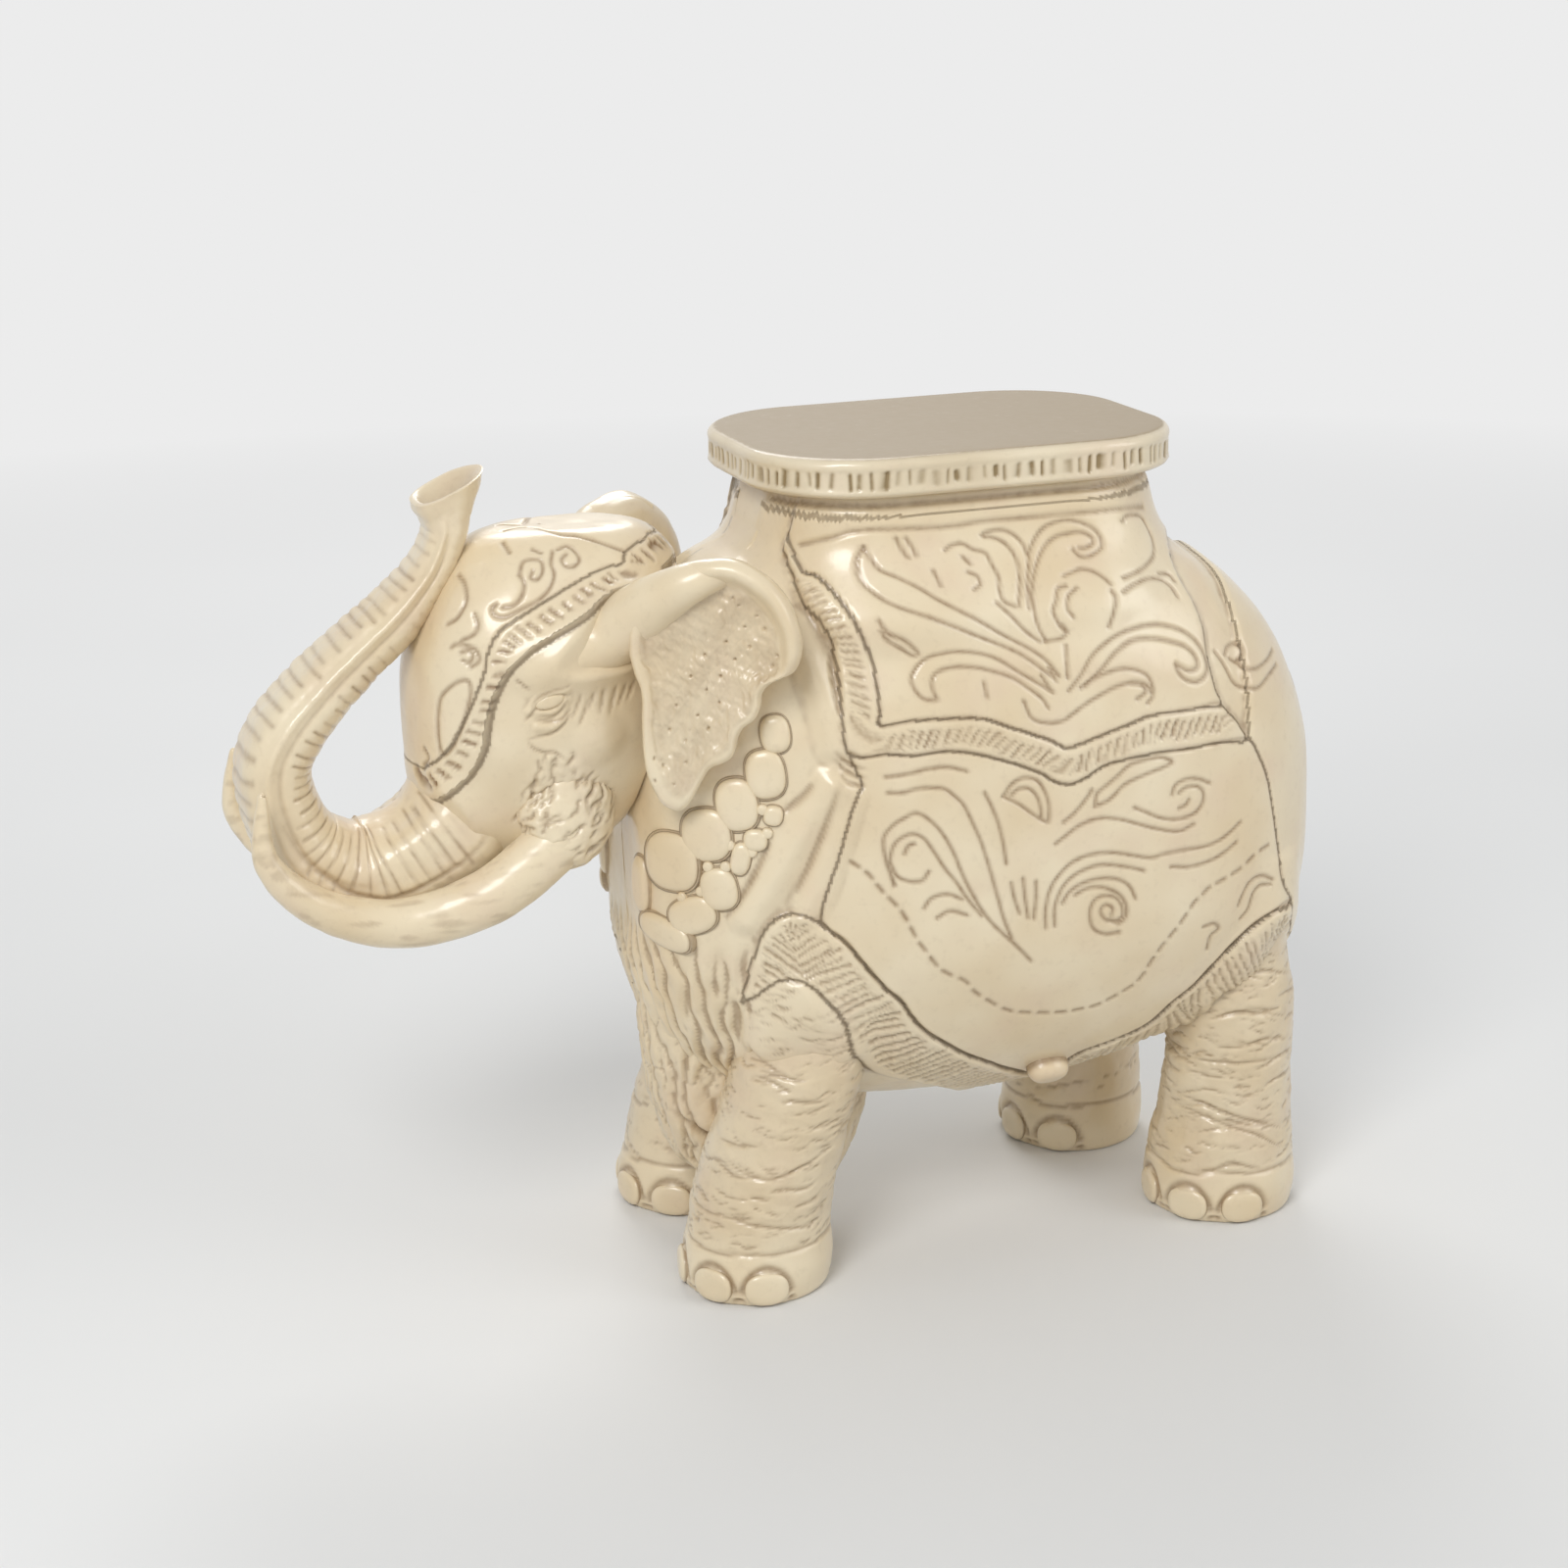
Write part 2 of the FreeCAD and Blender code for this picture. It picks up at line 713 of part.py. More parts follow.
def make_ear(side_name, side, *tools):
    """Makes one ear: a plate with a rolled rim around a dished field."""
    middle = Vector(size("ear_length") / 2, 0, size("ear_height") / 2)
    outline = [Vector(along * size("ear_length"), 0, rise * size("ear_height")) for along, rise in EAR_SHARES]
    field = [middle + (point - middle) * EAR_FIELD_SHARE for point in outline]
    turn = Rotation(Vector(0, 0, 1), side * size("ear_angle"))
    spot = Vector(size("ear_x"), side * size("ear_spread"), size("ear_tip_height"))
    plate_wire = form(f"{side_name}_ear_outline", smooth_loop(outline))
    field_wire = form(f"{side_name}_ear_field_outline", smooth_loop(field))
    deep = size("ear_thickness") - size("ear_dish")
    inward = -side * size("overrun") / 2
    low = min(inward, side * size("ear_thickness"))
    high = max(inward, side * size("ear_thickness"))
    plate = prism(f"{side_name}_ear_plate", plate_wire, low, high)
    low = min(side * deep, side * size("overrun"))
    high = max(side * deep, side * size("overrun"))
    hollow = prism(f"{side_name}_ear_dish", field_wire, low, high)
    for block in (plate, hollow):
        block.Placement = Placement(spot, turn)
    ear = minus(f"{side_name}_ear_cut", plate, hollow, *tools)
    return keep(ear, f"{side_name}_ear")


def make_eye(side_name, side, head_whole):
    """Makes one eye, a low almond dome on the side of the head."""
    ball = ellipsoid(f"{side_name}_eye_ball", "Sizes.eye_length / 2", "Sizes.eye_tall / 2", "Sizes.eye_tall / 2")
    place(ball, "Sizes.eye_x", f"{side} * Sizes.eye_spread", "Sizes.eye_height")
    return keep(minus(f"{side_name}_eye_cut", ball, head_whole), f"{side_name}_eye")


def surface_spot(shape, start, finish, stand_off):
    """Finds where a ray first enters a shape, and a point that stands square off the shape there."""
    ray = Part.LineSegment(start, finish).toShape()
    entry = min(ray.common(shape).Vertexes, key=lambda item: (item.Point - start).Length).Point
    outside = entry + (start - entry).normalize() * stand_off
    return Part.Vertex(outside).distToShape(shape)[1][0][1], outside


def plate_on_body(name, body_whole, turn, rise, share, side):
    """Makes one domed oval plate that lies square on the body, its length upright."""
    axis = Vector(
        size("chest_x") + PLATE_AXIS_SHARE * size("body_length"), 0,
        size("belly_height") + rise * (size("back_height") - size("belly_height")))
    angle = math.radians(turn)
    outward = Vector(-math.cos(angle), side * math.sin(angle), 0)
    start = axis + outward * (size("body_half_width") + size("body_length"))
    spot, outside = surface_spot(body_whole.Shape, start, axis, size("plate_length"))
    disc = ellipsoid(
        name, f"Sizes.plate_length / 2 * {share}", f"Sizes.plate_width / 2 * {share}", "Sizes.plate_proud")
    disc.Placement = Placement(spot, Rotation(Vector(0, 0, 1), Vector(0, 0, 0), outside - spot, "ZXY"))
    return disc


def make_plates(body_whole, *tools):
    """Makes the collar of oval plates that hangs from behind the ears round the breast."""
    for label, rows, middle in (
            ("collar_plates_upper", UPPER_PLATE_SHARES, BREAST_PLATE_SHARES[0]),
            ("collar_plates_lower", LOWER_PLATE_SHARES, BREAST_PLATE_SHARES[1])):
        plates = [plate_on_body(f"{label}_middle", body_whole, *middle, 1)]
        for side_name, side in (("left", -1), ("right", 1)):
            for number, (turn, rise, share) in enumerate(rows):
                plates.append(plate_on_body(f"{label}_{side_name}_{number}", body_whole, turn, rise, share, side))
        keep(minus(f"{label}_cut", group(f"{label}_whole", plates), body_whole, *tools), label)


def skin(name, body_whole, collar_whole, thickness):
    """Makes the thin layer of one thickness that covers the body and the collar."""
    outside = joined(
        f"{name}_outside", body_form(f"{name}_body", thickness), collar_form(f"{name}_collar", thickness))
    return minus(name, outside, body_whole, collar_whole)


def make_side_cloths(cloth_layer, fringe_layer, legs):
    """Makes the saddle cloth, side drape and their fringes on both sides, each cut back round the legs it meets."""
    reach = size("body_half_width") + size("overrun")
    outlines = (
        ("saddle_cloth", SADDLE_TOP_SHARES + SADDLE_INNER_SHARES + SADDLE_REAR_SHARES, cloth_layer, ()),
        ("saddle_fringe", SADDLE_TOP_SHARES[1:] + SADDLE_INNER_SHARES + SADDLE_OUTER_SHARES[::-1],
         fringe_layer, ()),
        ("side_drape", SADDLE_OUTER_SHARES[2:] + DRAPE_REAR_SHARES + DRAPE_INNER_SHARES[::-1]
         + DRAPE_FRONT_SHARES, cloth_layer, ("rear",)),
        ("drape_fringe", DRAPE_INNER_SHARES + DRAPE_OUTER_SHARES[::-1], fringe_layer, ("front", "rear")),
    )
    made = {}
    for title, outline, layer, ends in outlines:
        left = both(f"{title}_left_side", body_prism(f"{title}_block", outline, -reach, 0), layer)
        for side_name, cloth in (("left", left), ("right", mirrored(f"{title}_right_side", left))):
            tools = [legs[f"{end}_{side_name}"] for end in ends]
            cloth = minus(f"{title}_{side_name}_cut", cloth, *tools)
            made[f"{title}_{side_name}"] = keep(cloth, f"{title}_{side_name}")
    return made


def make_rump_cloth(cloth_layer, legs):
    """Makes the cloth that wraps the rump between the rear edges of the side cloths."""
    reach = size("body_half_width") + size("overrun")
    outline = (
        RUMP_TOP_SHARES + SADDLE_REAR_SHARES[::-1] + SADDLE_INNER_SHARES[-1:] + SADDLE_OUTER_SHARES[-1:]
        + DRAPE_REAR_SHARES + DRAPE_INNER_SHARES[-1:] + DRAPE_OUTER_SHARES[-1:] + RUMP_BOTTOM_SHARES)
    wrap = both("rump_cloth_wrap", body_prism("rump_cloth_block", outline, -reach, reach), cloth_layer)
    return keep(minus("rump_cloth_cut", wrap, legs["rear_left"], legs["rear_right"]), "rump_cloth")


def make_knobs(body_whole, cloth_outside, fringe):
    """Makes the smooth oval knob at the lowest point of each side drape."""
    start = Vector(size("knob_x"), -size("body_half_width") - size("overrun"), size("knob_height"))
    spot, outside = surface_spot(body_whole.Shape, start, Vector(start.x, 0, start.z), size("knob_length"))
    dome = ellipsoid(
        "drape_knob_dome", "Sizes.knob_length / 2", "Sizes.knob_tall / 2",
        "Sizes.knob_proud + Sizes.fringe_thickness")
    dome.Placement = Placement(spot, Rotation(Vector(1, 0, 0), Vector(0, 0, 0), outside - spot, "ZXY"))
    left = minus("drape_knob_left_cut", dome, cloth_outside, fringe)
    keep(left, "drape_knob_left")
    keep(mirrored("drape_knob_right_side", left), "drape_knob_right")


def make_head_cloth(head_whole, *tools):
    """Makes the cloth over the crown and forehead, and the hatched border along its edge."""
    lower = HEAD_CLOTH_SHARES
    upper = [(along - HEAD_BORDER_SHARE, rise + HEAD_BORDER_SHARE) for along, rise in lower]
    above = 1 + HEAD_BORDER_SHARE
    cloth_outline = upper + [(-HEAD_BORDER_SHARE, upper[-1][1]), (-HEAD_BORDER_SHARE, above), (upper[0][0], above)]
    for label, outline, thickness in (
            ("head_cloth", cloth_outline, size("head_cloth_thickness")),
            ("head_cloth_border", lower + upper[::-1], size("head_border_thickness"))):
        layer = minus(f"{label}_layer", head_form(f"{label}_outside", thickness), head_whole)
        cloth = both(f"{label}_whole", head_prism(f"{label}_block", outline), layer)
        keep(minus(f"{label}_cut", cloth, *tools), label)


def make_web(legs):
    """Makes the web of folded skin that joins the front legs under the breast."""
    outline = [
        Vector(
            size("front_foot_x") + size("front_leg_lean") + (along - WEB_MIDDLE_SHARE) * size("web_length"), 0,
            size("web_foot_height") + rise * (size("girth_height") - size("web_foot_height")))
        for along, rise in WEB_SHARES]
    wire = doc.addObject("Part::Polygon", "front_leg_web_outline")
    wire.Nodes = outline
    wire.Close = True
    block = prism("front_leg_web_block", wire, -size("web_half_width"), size("web_half_width"))
    body_above = body_form("body_seam_on_back", 0, 1)
    keep(minus("front_leg_web_cut", block, body_above, legs["front_left"], legs["front_right"]), "front_leg_web")


def make_tail(body_whole, cloth_outside):
    """Makes the tail, which hangs down the rump and swings to the right."""
    centres = []
    for drop, _, sway in TAIL_SHARES:
        height = size("tail_top_height") - drop * size("tail_length")
        start = Vector(
            size("chest_x") + size("body_length") + size("overrun"), sway * size("tail_sway"), height)
        spot, outside = surface_spot(
            body_whole.Shape, start, Vector(size("seat_x"), start.y, height), size("cloth_thickness"))
        centres.append(outside)
    formulas = [f"Sizes.tail_radius * {girth}" for _, girth, _ in TAIL_SHARES]
    whole = round_piece("tail_whole", centres, formulas)
    keep(minus("tail_cut", whole, cloth_outside), "tail")


def make_vents():
    """Makes the round holes that let air out in the kiln: one under the belly, one from the body to the head."""
    under = doc.addObject("Part::Cylinder", "vent_hole")
    bind(under, Radius="Sizes.vent_radius", Height="Sizes.girth_height - Sizes.belly_height")
    place(under, "Sizes.vent_x", "0", "Sizes.belly_height - Sizes.overrun")
    neck = doc.addObject("Part::Cylinder", "neck_hole")
    bind(neck, Radius="Sizes.neck_hole_radius", Height="Sizes.overrun * 3")
    neck.Placement.Rotation = Rotation(Vector(0, 1, 0), QUARTER_TURN)
    place(neck, "Sizes.chest_x - Sizes.overrun", "0", "Sizes.neck_hole_height")
    return under, neck


def make_elephant():
    """Makes every piece and registers it for writing."""
    body_whole = body_form("body_whole", 0)
    body_hollow = body_form("body_hollow", -size("body_wall"))
    collar_whole = collar_form("collar_whole", 0)
    collar_hollow = collar_form("collar_hollow", -size("collar_wall"))
    head_whole = head_form("head_whole", 0)
    head_hollow = head_form("head_hollow", -size("head_wall"))
    trunk_whole = make_trunk()

    make_slab()
    leg_wholes, leg_hollows = make_legs(body_whole)
    doc.recompute()
    keep(minus("body_shell_cut", body_whole, body_hollow, collar_hollow, *leg_hollows, *make_vents()),
         "body_shell")
    keep(minus("seat_collar_cut", collar_whole, collar_hollow, body_whole), "seat_collar")
    keep(minus("head_shell_cut", head_whole, head_hollow, body_whole), "head_shell")
    keep(minus("trunk_cut", trunk_whole, head_whole), "trunk")
    cloth_layer = skin("cloth_layer", body_whole, collar_whole, size("cloth_thickness"))
    fringe_layer = skin("fringe_layer", body_whole, collar_whole, size("fringe_thickness"))
    cloths = make_side_cloths(cloth_layer, fringe_layer, leg_wholes)
    make_rump_cloth(cloth_layer, leg_wholes)
    make_head_cloth(head_whole, body_whole, trunk_whole)
    ears = []
    for side_name, side in (("left", -1), ("right", 1)):
        tusk = make_tusk(side_name, side)
        keep(minus(f"{side_name}_tusk_cut", tusk, head_whole, trunk_whole), f"{side_name}_tusk")
        ears.append(make_ear(side_name, side, head_whole, body_whole, cloths[f"saddle_fringe_{side_name}"]))
        make_eye(side_name, side, head_whole)
    make_plates(body_whole, head_whole, *ears)
    make_web(leg_wholes)
    make_knobs(body_whole, doc.getObject("cloth_layer_outside"), cloths["drape_fringe_left"])
    make_tail(body_whole, doc.getObject("cloth_layer_body"))


def check_objects():
    """Stops if any object of the document failed, or a piece has no valid solid."""
    doc.recompute()
    failed = [item.Name for item in doc.Objects if "Invalid" in item.State or "Error" in item.State]
    if failed:
        raise RuntimeError("failed objects: " + ", ".join(failed))
    for item in parts:
        if item.Shape.isNull() or not item.Shape.isValid() or not item.Shape.Solids:
            raise RuntimeError("bad shape: " + item.Label)


def write_parts():
    """Writes each piece to its own file."""
    os.makedirs("parts", exist_ok=True)
    for item in parts:
        item.Shape.exportStep(os.path.join("parts", item.Label + ".step"))
        box = item.Shape.BoundBox
        print(f"{item.Label}: {len(item.Shape.Solids)} solids, {item.Shape.Volume / 1000:.1f} cm3,"
              f" x {box.XMin:.0f}..{box.XMax:.0f} y {box.YMin:.0f}..{box.YMax:.0f} z {box.ZMin:.0f}..{box.ZMax:.0f}")


make_elephant()
check_objects()
write_parts()
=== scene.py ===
"""Glazed elephant garden stool: moulded relief, cloths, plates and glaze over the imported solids.

All is in metres in the stool's own frame: the elephant faces -X, its left side is -Y, the floor is z = 0.
Incised lines are pixels of the 1600 x 1600 photograph, traced through the camera onto the solids.
"""
import math

import bpy
import numpy as np
from mathutils import Matrix, Vector
from mathutils.bvhtree import BVHTree
from mathutils.kdtree import KDTree


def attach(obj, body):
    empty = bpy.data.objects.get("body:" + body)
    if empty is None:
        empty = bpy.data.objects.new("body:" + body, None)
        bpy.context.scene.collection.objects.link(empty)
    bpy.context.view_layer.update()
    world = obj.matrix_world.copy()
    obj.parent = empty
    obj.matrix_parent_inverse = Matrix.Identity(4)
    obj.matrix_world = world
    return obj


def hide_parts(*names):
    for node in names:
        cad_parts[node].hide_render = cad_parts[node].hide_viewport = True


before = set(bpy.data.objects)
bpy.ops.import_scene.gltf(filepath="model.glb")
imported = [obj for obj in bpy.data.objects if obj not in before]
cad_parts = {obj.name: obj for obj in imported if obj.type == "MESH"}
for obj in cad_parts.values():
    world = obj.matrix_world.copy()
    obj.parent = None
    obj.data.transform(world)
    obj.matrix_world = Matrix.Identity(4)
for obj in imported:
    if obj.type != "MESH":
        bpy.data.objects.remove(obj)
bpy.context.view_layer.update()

MM = 0.001

# Camera: its place, its turns and the focal length of the photograph in pixels
EYE = (-0.4816, -1.391, 0.695)
YAW = math.radians(19.0)
PITCH = math.radians(16.9)
ROLL = math.radians(-1.15)
FOCAL_PIXELS = 3000.0
IMAGE_SIZE = 1600
SENSOR_WIDTH = 36.0

# Fineness of the meshes
NEAR_STEP = 1.25 * MM
HEAD_STEP = 1.3 * MM
FAR_STEP = 1.9 * MM
PLAIN_STEP = 4.0 * MM
PROBE_ROWS = 150
PROBE_COLUMNS = 260

# Relief over the skin
CLOTH_RISE = 3.0 * MM
FRINGE_RISE = 4.2 * MM
LINE_WIDTH = 1.35 * MM
LINE_DEPTH = 1.0 * MM
HEM_WIDTH = 1.8 * MM
HEM_DEPTH = 1.5 * MM
WALL = 2.0 * MM
SINK = 1.6 * MM

# How far a traced line may stray from its sheet
STRAY = 3.0 * MM
# How far the body's skin may run out over the tops of the legs
LEG_BULGE = 7.0 * MM
# Depth of the inner skin under the body's relief
BODY_SINK = 6.0 * MM
# The place along the body that the breast folds fan out from
FOLD_CENTRE = -20 * MM
# What the ear's full spread counts for, in mm, where its section is smoothed
EAR_REACH = 60
# How far back the head swells to meet the trunk and the brow roll
TRUNK_MEETS = -110 * MM
BROW_MEETS = -70 * MM
# How deep the tail's root lies in the rump
TAIL_BURIED = 13 * MM

# Parts of the body that are meshed on their own, in degrees along its axis and round it
WHOLE_TILTS = (-89.5, 89.5)
WHOLE_TURNS = (-180, 180)
FLANK_TILTS = (-52, 54)
FLANK_TURNS = (-86, 84)
REAR_TILTS = (48, 89.5)
BREAST_TILTS = (-89.5, -48)
HEAD_TILTS = (-89.0, 89.0)
REAR_STEPS = (2.0 * MM, 3.0 * MM)
BREAST_STEPS = (1.5 * MM, 2.0 * MM)
BODY_HALF_LENGTH = 115 * MM
BODY_PROBE_START = 400 * MM
HEAD_MIDDLE = (-128 * MM, 0, 311 * MM)
HEAD_HALF_LENGTH = 34 * MM
HEAD_PROBE_START = 260 * MM

# Least share of a plate's width that a turned surface may show
PLATE_FACING = 0.62

# Small moulded forms: length, width and rise
PLATE_SIZE = 10 * MM
PLATE_RISE = 3.6 * MM
BEAD_SIZE = 6 * MM
BEAD_RISE = 2.6 * MM
NAIL_SIZE = (18 * MM, 23 * MM, 3.1 * MM)
NAIL_LEVEL = 9.8 * MM
NAIL_BEDDING = 2.2 * MM
EYE_SIZE = (15 * MM, 7.5 * MM, 2.6 * MM)
KNOB_SIZE = (23 * MM, 17 * MM, 8 * MM)
KNOB_LIFT = 4.5 * MM

# Feet: how far each leg leans to its top, its radius, and where its sole stands, in mm
FRONT_LEAN = 42 * MM
HIND_LEAN = -4 * MM
FRONT_RADIUS = 40 * MM
HIND_RADIUS = 41 * MM
FRONT_FOOT = -43.6
HIND_FOOT = 208.4
HIND_FOOT_OFFSET = 18

# Trunk and tusks, in mm: where they leave the head, how far forward and how high they reach
TRUNK_ROOT = (-171.6, 228)
TRUNK_SPAN = (118, 200)
TUSK_ROOT = (-133.6, 214)
TUSK_SPAN = (147, 76)
TRUNK_RADIUS = 36 * MM
TUSK_RADIUS = 14 * MM
TUSK_ASIDE = 46

# Relief of the flank
SADDLE_EXTRA = 0.6 * MM
COLLAR_RIM_DROP = 5 * MM
ROLL_WIDTH = 12 * MM
ROLL_RISE = 4.4 * MM
LEG_TOP_RISE = 7.0 * MM

# Hatched bands: reach, pitch, seed, depth, slant, spread across the band, and wash
SADDLE_HATCH = (17 * MM, 5.0 * MM, 3, 1.4 * MM, 0.5, (0.16, 0.92), 1.1)
DRAPE_HATCH = (34 * MM, 4.9 * MM, 4, 1.5 * MM, 0.35, (0.06, 0.96), 0.72)
BORDER_HATCH = (15 * MM, 6.2 * MM, 81, 1.5 * MM, 0.35, (0.14, 0.84), 1.5)

# Short strokes: length, width, depth and wash
WRINKLE = (12 * MM, 0.9 * MM, 1.0 * MM, 0.8)
LONG_WRINKLE = (30 * MM, 1.2 * MM, 1.4 * MM, 0.75)
LEG_TOP_WRINKLE = (11 * MM, 0.9 * MM, 0.9 * MM, 0.6)
CHEEK_FEATHER = (10 * MM, 1.2 * MM, 1.7 * MM, 0.7)
JAW_FEATHER = (11 * MM, 1.2 * MM, 1.5 * MM, 0.45)
JAW_ACCENT = (7 * MM, 1.2 * MM, 1.5 * MM, 1.0)

# Cut lines: width, depth and wash
EYE_CUT = (1.0 * MM, 1.0 * MM, 0.85)
HAIR_CUT = (1.2 * MM, 0.9 * MM, 0.4)
PIT_CUT = (0.9 * MM, 1.6 * MM, 1.0)
FOLD_CUT = (1.3 * MM, 1.5 * MM, 0.7)
NAIL_CUT = (2.5 * MM, 1.9 * MM, 0.9)
WEB_CUT = (2.4 * MM, 3.0 * MM, 1.0)

# Swells and fillets: width or reach, and rise
BROW_SWELL = (17 * MM, 2.2 * MM)
CHEEK_SWELL = (17 * MM, 3.0 * MM)
LID_SWELL = (3.6 * MM, 1.5 * MM)
TRUNK_FILLET = (18 * MM, 5.5 * MM)
BROW_FILLET = (13 * MM, 5.5 * MM)

# The cloth on the head: how far it rises, how much more its border does, and its wall
HEAD_CLOTH_RISE = 1.5 * MM
HEAD_BORDER_RISE = 0.5 * MM
HEAD_CLOTH_WALL = 1.6 * MM

# Arched groove over a nail: half its width, its foot and its rise
ARCH_HALF_WIDTH = 14.2 * MM
ARCH_FOOT = 2.0 * MM
ARCH_RISE = 19.5 * MM

# Trunk ridges, the hollow at the corner of its loop, and the pitch of its rings and creases
RIDGE_RISE = 2.3 * MM
LOOP_HOLLOW = 9.0 * MM
RING_PITCH = 7.5 * MM
CREASE_PITCH = 7.0 * MM

# Tail: its girth and the pitch of its rings
TAIL_RADIUS = 8 * MM
TAIL_RING_PITCH = 7 * MM

# Studio lamps: name, place, target, width and power
LAMPS = [
    ("key", (-1.3, -1.6, 1.9), (0, 0, 0.2), 1.1, 33),
    ("fill", (1.8, -1.4, 1.3), (0.05, 0, 0.2), 1.4, 12),
    ("back", (0.4, 1.8, 1.8), (0.05, 0, 0.25), 1.2, 18)]


def unit(vectors):
    """Scales vectors to length one."""
    length = np.linalg.norm(vectors, axis=-1, keepdims=True)
    return vectors / np.maximum(length, 1e-12)


def camera_axes():
    """Gives the camera's right, up and forward directions."""
    forward = np.array([math.sin(YAW) * math.cos(PITCH), math.cos(YAW) * math.cos(PITCH), -math.sin(PITCH)])
    level = np.array([math.cos(YAW), -math.sin(YAW), 0.0])
    upright = np.cross(level, forward)
    right = math.cos(ROLL) * level + math.sin(ROLL) * upright
    up = math.cos(ROLL) * upright - math.sin(ROLL) * level
    return right, up, forward


def sight(pixel):
    """Gives the direction in which the camera sees a pixel of the photograph."""
    right, up, forward = camera_axes()
    across = (pixel[0] - IMAGE_SIZE / 2) / FOCAL_PIXELS
    down = (pixel[1] - IMAGE_SIZE / 2) / FOCAL_PIXELS
    return Vector(forward + right * across - up * down).normalized()


def solid_tree(*names):
    """Makes a ray tree of the named solids."""
    points = []
    faces = []
    for name in names:
        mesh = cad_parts[name].data
        mesh.calc_loop_triangles()
        start = len(points)
        points.extend(vertex.co.copy() for vertex in mesh.vertices)
        faces.extend([start + corner for corner in triangle.vertices] for triangle in mesh.loop_triangles)
    return BVHTree.FromPolygons(points, faces)


def smooth_line(points, step, closed=False):
    """Runs a smooth curve through points and gives places along it, step apart."""
    points = np.asarray(points, float)
    if closed:
        padded = np.vstack([points[-1:], points, points[:2]])
    else:
        padded = np.vstack([2 * points[:1] - points[1:2], points, 2 * points[-1:] - points[-2:-1]])
    places = []
    for before, start, end, after in zip(padded, padded[1:], padded[2:], padded[3:]):
        count = max(int(np.linalg.norm(end - start) / step), 1)
        t = np.linspace(0, 1, count, endpoint=False)[:, None]
        places.append(0.5 * (
            2 * start + (end - before) * t + (2 * before - 5 * start + 4 * end - after) * t ** 2
            + (3 * start - before - 3 * end + after) * t ** 3))
    if not closed:
        places.append(points[-1:])
    return np.vstack(places)


def seen(tree, pixel):
    """Gives what the camera sees at a pixel: the place, its normal, the face and the distance."""
    return tree.ray_cast(Vector(EYE), sight(pixel))


def flipped(side):
    """Gives the factors that leave a place as it is (1) or mirror it across the middle plane (-1)."""
    return np.array([1, side, 1])


def whole_turn(columns):
    """Gives evenly spaced angles once round."""
    return np.linspace(0, 2 * math.pi, columns, endpoint=False)


def squareness(turn, power):
    """Gives how far a rounded rectangle of a given power stands out beyond a circle at each angle."""
    return (np.abs(np.cos(turn)) ** power + np.abs(np.sin(turn)) ** power) ** (-1 / power)


def placed(name, data):
    """Makes an object and puts it into the scene."""
    item = bpy.data.objects.new(name, data)
    bpy.context.scene.collection.objects.link(item)
    return item


def traced(tree, pixels, step=1.1):
    """Traces a smooth pixel line onto a solid and gives the places where it lands."""
    places = []
    for pixel in smooth_line(pixels, step):
        hit = seen(tree, pixel)[0]
        if hit is not None:
            places.append(hit)
    return np.array(places).reshape(-1, 3)


def blend_matrix(places, count, wraps):
    """Gives the weights that read smooth values between evenly spaced samples."""
    matrix = np.zeros((len(places), count))
    base = np.floor(places).astype(int)
    t = places - base
    weights = (
        (-t + 2 * t ** 2 - t ** 3) / 2,
        (2 - 5 * t ** 2 + 3 * t ** 3) / 2,
        (t + 4 * t ** 2 - 3 * t ** 3) / 2,
        (t ** 3 - t ** 2) / 2)
    rows = np.arange(len(places))
    for offset, weight in zip((-1, 0, 1, 2), weights):
        column = base + offset
        column = column % count if wraps else np.clip(column, 0, count - 1)
        np.add.at(matrix, (rows, column), weight)
    return matrix


def run_of(points):
    """Gives the length of a line up to each of its points."""
    return np.concatenate([[0.0], np.cumsum(np.linalg.norm(np.diff(points, axis=0), axis=1))])


def resampled(numbers, points, step):
    """Gives numbers spread so that the places they stand for are about one step apart."""
    run = run_of(points)
    return np.interp(np.linspace(0, run[-1], int(run[-1] / step) + 2), run, numbers)


def hills(points, size, seed, octaves=3):
    """Gives smooth irregular values between about -1 and 1 at points, from a few sums of slanted waves."""
    source = np.random.RandomState(seed)
    total = np.zeros(points.shape[:-1])
    strength = 1.0
    for _ in range(octaves):
        for _ in range(6):
            direction = unit(source.normal(size=3)) * (2 * math.pi / size)
            bend = unit(source.normal(size=3)) * (math.pi / size)
            phase = source.uniform(0, 2 * math.pi, 2)
            total += strength * np.sin(points @ direction + phase[0] + 1.3 * np.sin(points @ bend + phase[1]))
        size /= 2
        strength /= 2
    return total / 6


def soft_step(value, low, high):
    """Goes smoothly from 0 at low to 1 at high."""
    t = np.clip((value - low) / (high - low), 0, 1)
    return t * t * (3 - 2 * t)


def groove(value, width):
    """Gives a soft round bottom: 1 in the middle, falling to 0 beyond the width."""
    return np.exp(-(value / width) ** 2 * 1.6)


def inside(outline, points):
    """Says which flat points lie inside a closed outline."""
    found = np.zeros(len(points), bool)
    near = np.where(np.all((points > outline.min(axis=0)) & (points < outline.max(axis=0)), axis=1))[0]
    x, y = points[near].T
    odd = np.zeros(len(near), bool)
    for (x0, y0), (x1, y1) in zip(outline, np.roll(outline, -1, axis=0)):
        if y0 != y1:
            odd ^= ((y0 > y) != (y1 > y)) & (x < (x1 - x0) * (y - y0) / (y1 - y0) + x0)
    found[near] = odd
    return found


def softened(values, rounds, wraps):
    """Softens values over a grid."""
    for _ in range(rounds):
        padded = np.pad(values, ((1, 1), (0, 0)), mode="edge")
        values = (2 * values + padded[:-2] + padded[2:]) / 4
        padded = np.pad(values, ((0, 0), (1, 1)), mode="wrap" if wraps else "edge")
        values = (2 * values + padded[:, :-2] + padded[:, 2:]) / 4
    return values


